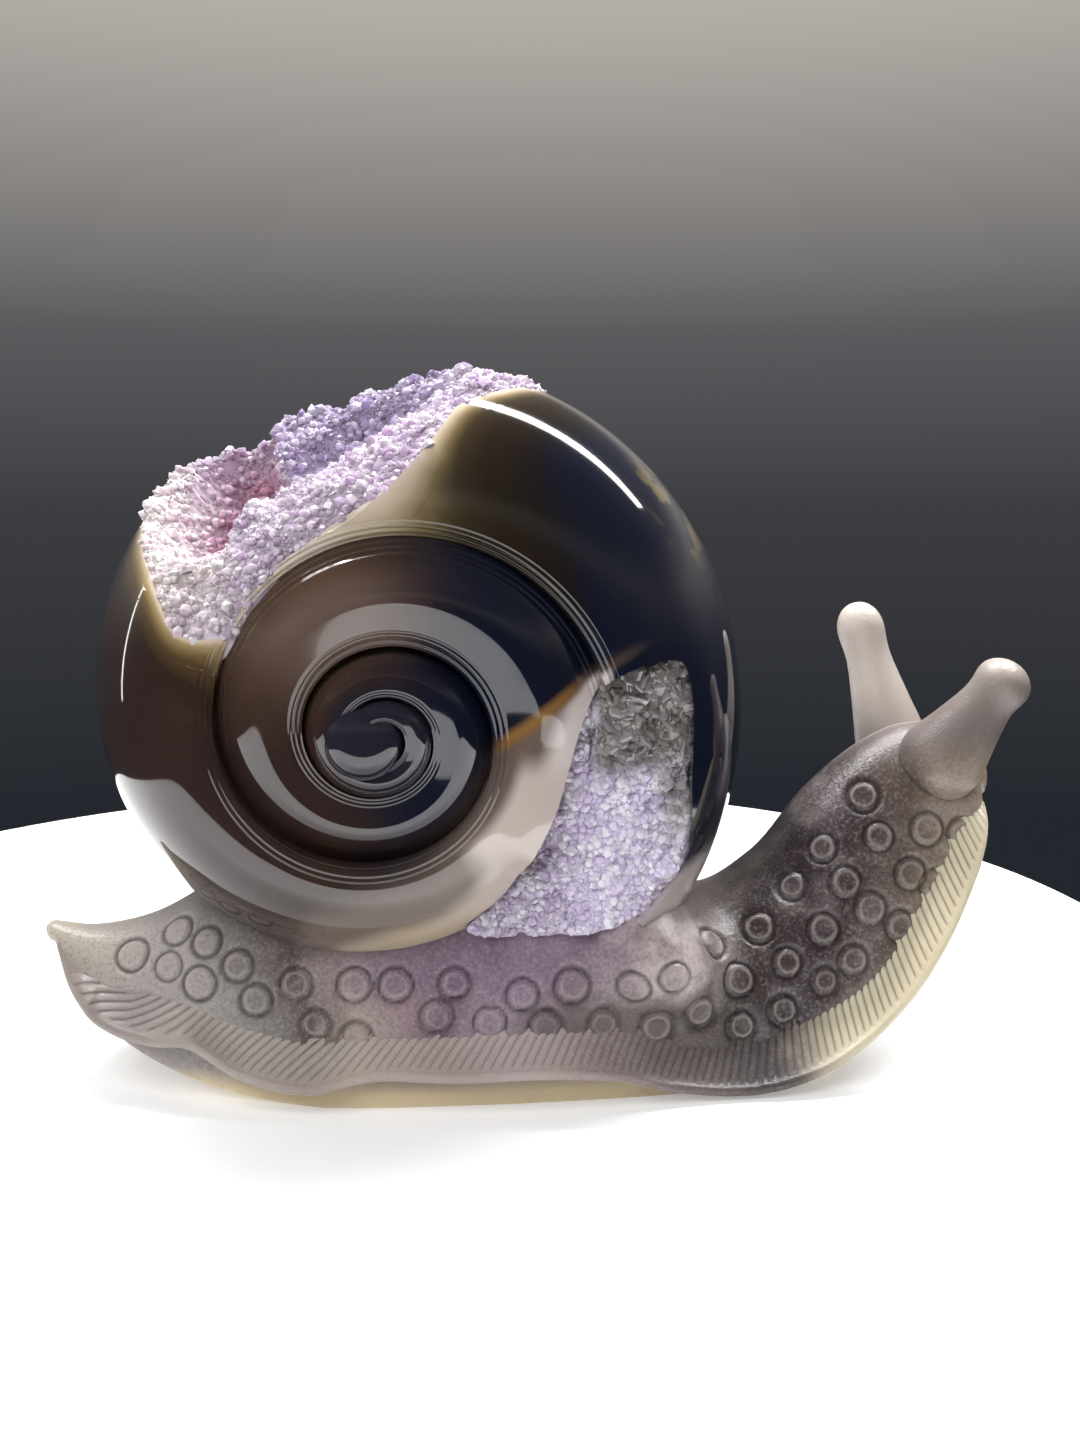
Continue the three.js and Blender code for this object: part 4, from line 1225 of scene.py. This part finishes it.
class Value:
    """A number, place or colour in a node tree. Numbers add and multiply as plain ones do."""

    def __init__(self, tree, socket):
        self.tree, self.socket = tree, socket

    def node(self, kind, inputs, output=0, **settings):
        """Output of a new node in the same tree."""
        return Value(self.tree, new_node(self.tree, kind, inputs, **settings).outputs[output])

    def calc(self, operation, first, second=0.0, clamp=False):
        return self.node("ShaderNodeMath", {0: first, 1: second}, operation=operation, use_clamp=clamp)

    def __add__(self, other):
        return self.calc("ADD", self, other)

    def __sub__(self, other):
        return self.calc("SUBTRACT", self, other)

    def __rsub__(self, other):
        return self.calc("SUBTRACT", other, self)

    def __mul__(self, other):
        return self.calc("MULTIPLY", self, other)

    def __truediv__(self, other):
        return self.calc("DIVIDE", self, other)

    def span(self, low, high):
        """Smooth share of the way from low to high."""
        inputs = {0: self, 1: low, 2: high}
        return self.node("ShaderNodeMapRange", inputs, interpolation_type="SMOOTHSTEP")

    def between(self, low, high, soft):
        return self.span(low - soft, low + soft) * self.span(high + soft, high - soft)

    def mix(self, first, second):
        """Colour this share of the way from the first to the second."""
        colours = [c if isinstance(c, Value) else (*c, 1) for c in (first, second)]
        return self.node("ShaderNodeMix", {0: self, 6: colours[0], 7: colours[1]}, 2, data_type="RGBA")

    def ramp(self, stops):
        """Colour at this place between stops."""
        made = new_node(self.tree, "ShaderNodeValToRGB", {0: self})
        elements = made.color_ramp.elements
        while len(elements) < len(stops):
            elements.new(0.5)
        for element, (place, *colour) in zip(elements, stops):
            element.position = place
            element.color = (*colour, 1)
        return Value(self.tree, made.outputs[0])

    def noise(self, scale, detail=4.0, roughness=0.55):
        inputs = {"Vector": self, "Scale": scale, "Detail": detail, "Roughness": roughness}
        return self.node("ShaderNodeTexNoise", inputs)

    def axes(self):
        made = new_node(self.tree, "ShaderNodeSeparateXYZ", {0: self})
        return [Value(self.tree, socket) for socket in made.outputs]

    def kept(self, name):
        """Value kept on the points of the piece."""
        return self.node("ShaderNodeAttribute", {}, "Fac", attribute_name=name)


def place_in(tree, kind="Object"):
    return Value(tree, tree.nodes.new("ShaderNodeTexCoord").outputs[kind])


def new_material(name, constants):
    material = bpy.data.materials.new(name)
    material.use_nodes = True
    shader = material.node_tree.nodes["Principled BSDF"]
    for key, value in constants.items():
        shader.inputs[key].default_value = value
    return material


def paint(material, colour, height=None, bump=None):
    """Link a colour to the shader of a finish, and a bump made from a height."""
    tree = material.node_tree
    shader = tree.nodes["Principled BSDF"]
    tree.links.new(colour.socket, shader.inputs["Base Color"])
    if height:
        inputs = {"Strength": bump[0], "Distance": bump[1], "Height": height}
        tree.links.new(new_node(tree, "ShaderNodeBump", inputs).outputs[0], shader.inputs["Normal"])


def coil_place(place):
    """Offsets from the middle of the coil, turn in degrees from 0 to 360, and radius."""
    middle = Vector((COIL_X, 0, COIL_Z)) * MM
    away = place.node("ShaderNodeVectorMath", {0: place, 1: middle}, operation="SUBTRACT")
    x, _, z = away.axes()
    x, z = x * 1000.0, z * 1000.0
    turn = x.calc("ARCTAN2", z, x) * 57.2958 + 360.0
    return x, z, x.calc("MODULO", turn, 360.0), x.calc("SQRT", x * x + z * z)


# Finishes. Places on the coil are in millimetres and places on the body in metres.
def agate_layers():
    """Colours of the banded agate: cream round the crystals, then honey, brown and near black."""
    tree = bpy.data.node_groups.new("agate layers", "ShaderNodeTree")
    tree.interface.new_socket("Place", in_out="INPUT", socket_type="NodeSocketVector")
    tree.interface.new_socket("Colour", in_out="OUTPUT", socket_type="NodeSocketColor")
    place = Value(tree, tree.nodes.new("NodeGroupInput").outputs[0])
    x, z, turn, radius = coil_place(place)
    warp = place.noise(38.0, 5.0) - 0.5
    colour = agate_ground(place, x, turn, radius, warp)
    colour = crown_layers(colour, x, radius, warp)
    colour = lip_layers(colour, x, z, turn, radius, warp)
    new_node(tree, "NodeGroupOutput", {0: colour})
    return tree


def agate_ground(place, x, turn, radius, warp):
    """Black towards the head, brown towards the tail, amber on the top of the second turn."""
    warm = (x + warp * 40.0).span(14.0, -12.0)
    colour = warm.mix(BLACK_AGATE, BROWN_AGATE)
    clouds = place.noise(55.0, 3.0).span(0.5, 0.75) * warm * 0.6
    colour = clouds.mix(colour, BROWN_CLOUD)
    swing = turn + warp * 60.0
    # The pale veil tints the table's reflection on the second turn: partly painted reflection.
    for turns, radii, strength, tint in TURN_TINTS:
        zone = swing.between(*turns) * radius.between(*radii) * strength
        colour = zone.mix(colour, tint)
    colour = radius.span(9.0, 6.0).mix(colour, KNOB_COLOUR)
    flecks = turn.between(28, 44, 4) * radius.span(50.0, 55.0) * place.noise(160.0, 2.0).span(0.48, 0.56)
    return flecks.mix(colour, FLECK_COLOUR)


def crown_layers(colour, x, radius, warp):
    """Layers round the crystals of the crown, widest beside the inner turns on the side of the head."""
    inward = x.node("ShaderNodeMapRange", {0: radius, 1: 34.0, 2: 50.0, 3: 0.5, 4: 1.1})
    tailward = x.span(-8.0, -26.0)
    wide = x.node("ShaderNodeMix", {0: tailward, 2: inward, 3: 1.9})
    crown = x.kept("crown") * wide + warp * 2.5
    shaded = (1.0 - tailward) * crown.span(0.0, 3.0) * 0.84
    honey = shaded.mix((crown / RIND_REACH).ramp(RIND_COLOURS), RIND_SHADE)
    return crown.span(RIND_REACH, RIND_REACH / 2).mix(colour, honey)


def lip_layers(colour, x, z, turn, radius, warp):
    """Cream beside the mouth, grey brown further in, and an orange wedge above."""
    lip = x.kept("lip") + warp * 2.5
    above = z - (x - 17.2) * 0.651 + 1.5 + warp * 3.0
    mouth_side = x.span(34.0, 32.0) * above.span(1.0, -0.8)
    over = lip.span(4.0, 1.0) * above.span(-0.8, 1.0) * 0.8
    colour = over.mix(colour, LIP_ABOVE)
    colour = (lip.span(13.5, 7.0) * mouth_side).mix(colour, LIP_BROWN)
    pale = z.span(-16.0, -34.0).mix(LIP_CREAM, LIP_YELLOW)
    colour = (lip.span(5.0, 1.2) * mouth_side).mix(colour, pale)
    inner = turn.between(306, 348, 7) * radius.between(20.4, 32, 1.2) * mouth_side
    colour = inner.mix(colour, LIP_INSIDE)
    wedge = above.between(-0.6, 1.6, 0.9) * x.between(17.0, 28.5, 2.0)
    colour = wedge.mix(colour, WEDGE_ORANGE)
    # Under the mouth the wall of the last whorl runs out into the frosted stone.
    below = z - (x - 39.0) * 0.35
    foot = below.span(-22.5, -26.0) * x.span(35.0, 38.0)
    return foot.mix(colour, GREY_STONE_AND_LIP_HIGHLIGHT)


def polished_agate(name, layers):
    material = new_material(name, POLISHED)
    place = place_in(material.node_tree)
    colour = place.node("ShaderNodeGroup", {0: place}, node_tree=layers)
    paint(material, colour, place.noise(45.0, 2.0), RIPPLE)
    return material


def body_colours(place, x, z, along):
    """Lilac grey to brown along the body, with a plum haze, a pale patch and frost specks."""
    share = x.node("ShaderNodeMapRange", {0: along, 1: BODY_ENDS[0], 2: BODY_ENDS[1]})
    middle = BODY_SHIFT * MM
    haze = x.between(middle - 0.034, middle + 0.012, 0.008) * z.span(0.013, 0.02) * 0.7
    colour = haze.mix(share.ramp(BODY_COLOURS), PLUM_HAZE)
    shoulder = Vector((BODY_SHIFT + 18, -20, 23)) * MM
    away = x.node("ShaderNodeVectorMath", {0: place, 1: shoulder}, "Value", operation="DISTANCE")
    pale = away.span(0.014, 0.005) * place.noise(210.0).span(0.25, 0.7)
    colour = pale.mix(colour, PALE_PATCH)
    mottle = place.noise(120.0, 6.0, 0.7).span(0.42, 0.7) * 0.28
    colour = mottle.mix(colour, MOTTLE)
    frost = place.noise(1700.0, 3.0, 0.6)
    colour = (frost.span(0.5, 0.68) * 0.19).mix(colour, FROST_LIGHT)
    return (frost.span(0.5, 0.34) * 0.26).mix(colour, FROST_DARK)


def frill_tints(colour, along):
    """Pale frill, dark under the neck, grey at the tail and cream up the chest."""
    pale = 0.68 - along.span(0.0, 0.014) * 0.55
    colour = pale.mix(colour, FRILL_PALE)
    colour = (along.between(0.016, 0.044, 0.008) * 0.45).mix(colour, FRILL_DARK)
    colour = (along.span(-0.048, -0.064) * 0.6).mix(colour, FRILL_TAIL)
    return (along.span(0.040, 0.056) * 0.88).mix(colour, FRILL_CHEST)


def painted_wall_shade(colour, along, z):
    """Painted shade: the low wall under the shell's mouth darkened, and the top of the nape in front of the
    shell made near black against the light from above.
    """
    # Painted shade low on the wall under the shell's mouth.
    low = along.between(-0.006, 0.032, 0.009) * z.span(0.019, 0.012) * 0.7
    colour = low.mix(colour, WALL_SHADE_UNDER_MOUTH)
    # Painted shade on the top of the nape, darkened against the light from above.
    nape_shade = along.between(0.026, 0.041, 0.006) * z.span(0.024, 0.033) * 0.75
    return nape_shade.mix(colour, NAPE_PAINTED_SHADE)


def frosted_agate(name, frill):
    """Satin stone of the body, with painted shade in its grooves, a painted highlight on the lips inside its
    rings, and cream at its thin edges that is partly painted light on the stalks and the sole.
    """
    material = new_material(name, FROSTED)
    place = place_in(material.node_tree)
    x, y, z = place.axes()
    along = x + (place.noise(30.0) - 0.5) * 0.03
    colour = body_colours(place, x, z, along)
    colour = frill_tints(colour, along) if frill else painted_wall_shade(colour, along, z)
    colour = (z.span(0.047, 0.055) * 0.8).mix(colour, BROW)
    # Cream up the stalks: their lighter stone and partly painted light, reaching lower on the far stalk to
    # lift it out of its shade.
    lifted = z + y.span(-0.002, 0.002) * 0.012
    colour = (lifted.span(0.057, 0.075) * 0.9).mix(colour, STALK_CREAM_AND_LIGHT)
    groove = place.kept("groove")
    # Painted shade: darker in the ring grooves, in the frill's flutes and a little on its hem.
    colour = (groove.span(0.08, 0.5) * 0.55).mix(colour, GROOVE_PAINTED_SHADE)
    # Painted highlight: lighter on the raised lip inside each ring.
    colour = (groove.span(-0.02, -0.12) * 0.3).mix(colour, GREY_STONE_AND_LIP_HIGHLIGHT)
    # Cream band along the sole: the pale sole with a painted glow of light through the thin stone.
    if not frill:
        colour = z.span(0.0056, 0.0016).mix(colour, SOLE_CREAM_AND_GLOW)
    paint(material, colour, place.noise(2400.0, 3.0), GRAIN)
    return material


def amethyst(name):
    """Sugary amethyst with a tone for each crystal and zones of pink, violet, white and smoky stone, the
    violet partly painted shade.
    """
    material = new_material(name, AMETHYST)
    place = place_in(material.node_tree)
    tone = place.kept("tone")
    veins = place.noise(190.0, 6.0).span(0.52, 0.68) * 0.6
    shift = (place.noise(90.0) - 0.5) * 0.8
    colour = tone.ramp(CRYSTAL_PALE)
    for zone, stops in CRYSTAL_ZONES.items():
        shade = tone.ramp(stops)
        if zone == "smoke":
            shade = veins.mix(shade, SMOKE_VEIN)
        share = place.kept(zone)
        share = share.calc("ADD", share, shift * share.span(0.0, 0.4), clamp=True)
        colour = share.mix(colour, shade)
    paint(material, colour)
    return material


# Stage.
def add_table():
    """White table, round at the back and straight along the front."""
    table = circle_piece("table_top", 192, TABLE_RADIUS)
    points = points_of(table)
    share = np.clip(np.abs(points[:, 0]) / TABLE_RADIUS, 0, 1)
    front = -TABLE_FRONT * (1 - share**TABLE_POWER) ** (1 / TABLE_POWER)
    points[:, 1] = np.where(points[:, 1] < -1e-6, front, points[:, 1])
    put_points(table, points + TABLE_MIDDLE)
    table.data.materials.append(new_material("white table", WHITE_TABLE))


def add_studio():
    """Grey studio, lightest in a band above the table's edge and dark in front."""
    world = bpy.data.worlds.new("grey studio")
    bpy.context.scene.world = world
    world.use_nodes = True
    tree = world.node_tree
    _, deep, up = place_in(tree, "Generated").axes()
    shade = (up * 0.5 + 0.5).ramp(STUDIO_SHADES)
    shade = (deep.span(0.3, -0.3) * 0.6).mix(shade, STUDIO_FRONT)
    tree.links.new(shade.socket, tree.nodes["Background"].inputs[0])
    tree.nodes["Background"].inputs[1].default_value = 1.0
    bpy.context.scene.view_settings.view_transform = "Standard"


def add_light(name, place, aim, size, power, glossy):
    light = bpy.data.lights.new(name, "AREA")
    light.shape = "RECTANGLE"
    light.size, light.size_y = size
    light.energy = power
    lamp = bpy.data.objects.new(name, light)
    lamp.location = place
    lamp.rotation_euler = (Vector(aim) - Vector(place)).to_track_quat("-Z", "Y").to_euler()
    lamp.visible_glossy = glossy
    lamp.visible_camera = False
    bpy.context.collection.objects.link(lamp)


def add_camera():
    data = bpy.data.cameras.new("camera")
    data.lens = CAMERA_LENS
    data.sensor_width = CAMERA_SENSOR
    camera = bpy.data.objects.new("camera", data)
    yaw, pitch = math.radians(CAMERA_YAW), math.radians(CAMERA_PITCH)
    back = Vector((math.sin(yaw) * math.cos(pitch), -math.cos(yaw) * math.cos(pitch), math.sin(pitch)))
    camera.location = CAMERA_AIM + back * CAMERA_DISTANCE
    camera.rotation_euler = (-back).to_track_quat("-Z", "Y").to_euler()
    bpy.context.collection.objects.link(camera)
    bpy.context.scene.camera = camera


def build_shell(random):
    layers = agate_layers()
    dark = polished_agate("polished agate", layers)
    cream = polished_agate("cream agate", layers)
    violet = amethyst("amethyst")
    polished = (
        (body_whorl(), dark),
        (smooth_piece(whorl_piece("carved_second_whorl", LIP_TURN, LIP_TURN + 360, 240, 148)), dark),
        (smooth_piece(whorl_piece("carved_inner_whorl", LIP_TURN + 360, INNER_END, 260, 132)), dark),
        (apex_knob(), dark),
        (crown_rind(), cream),
        (mouth_lip(), cream),
    )
    for piece, material in polished:
        mark_layers(piece, piece.name in ("carved_body_whorl", "carved_crown_rind"))
        finish_piece(piece, material)
    for piece in (crown_druse(random), mouth_druse(random)):
        finish_piece(piece, violet)


def build_body():
    satin = frosted_agate("frosted agate", False)
    fluted = frosted_agate("frosted frill", True)
    smooth = (
        body_piece("carved_tail", 0, TAIL_JOINT, 130, tail_cap=1.5),
        body_piece("carved_foot", TAIL_JOINT, NECK_JOINT, 190),
        body_piece("carved_head", NECK_JOINT, 1, 260, head_cap=3.0),
        tentacle("carved_near_tentacle", **NEAR_STALK),
        tentacle("carved_far_tentacle", **FAR_STALK),
    )
    for piece in smooth:
        finish_piece(piece, satin)
    for piece in (frill_piece("carved_near_skirt", -1), frill_piece("carved_far_skirt", 1)):
        finish_piece(piece, fluted)


build_shell(np.random.default_rng(11))
build_body()
add_table()
add_studio()
for light_name, settings in LIGHTS.items():
    add_light(light_name, *settings)
add_camera()
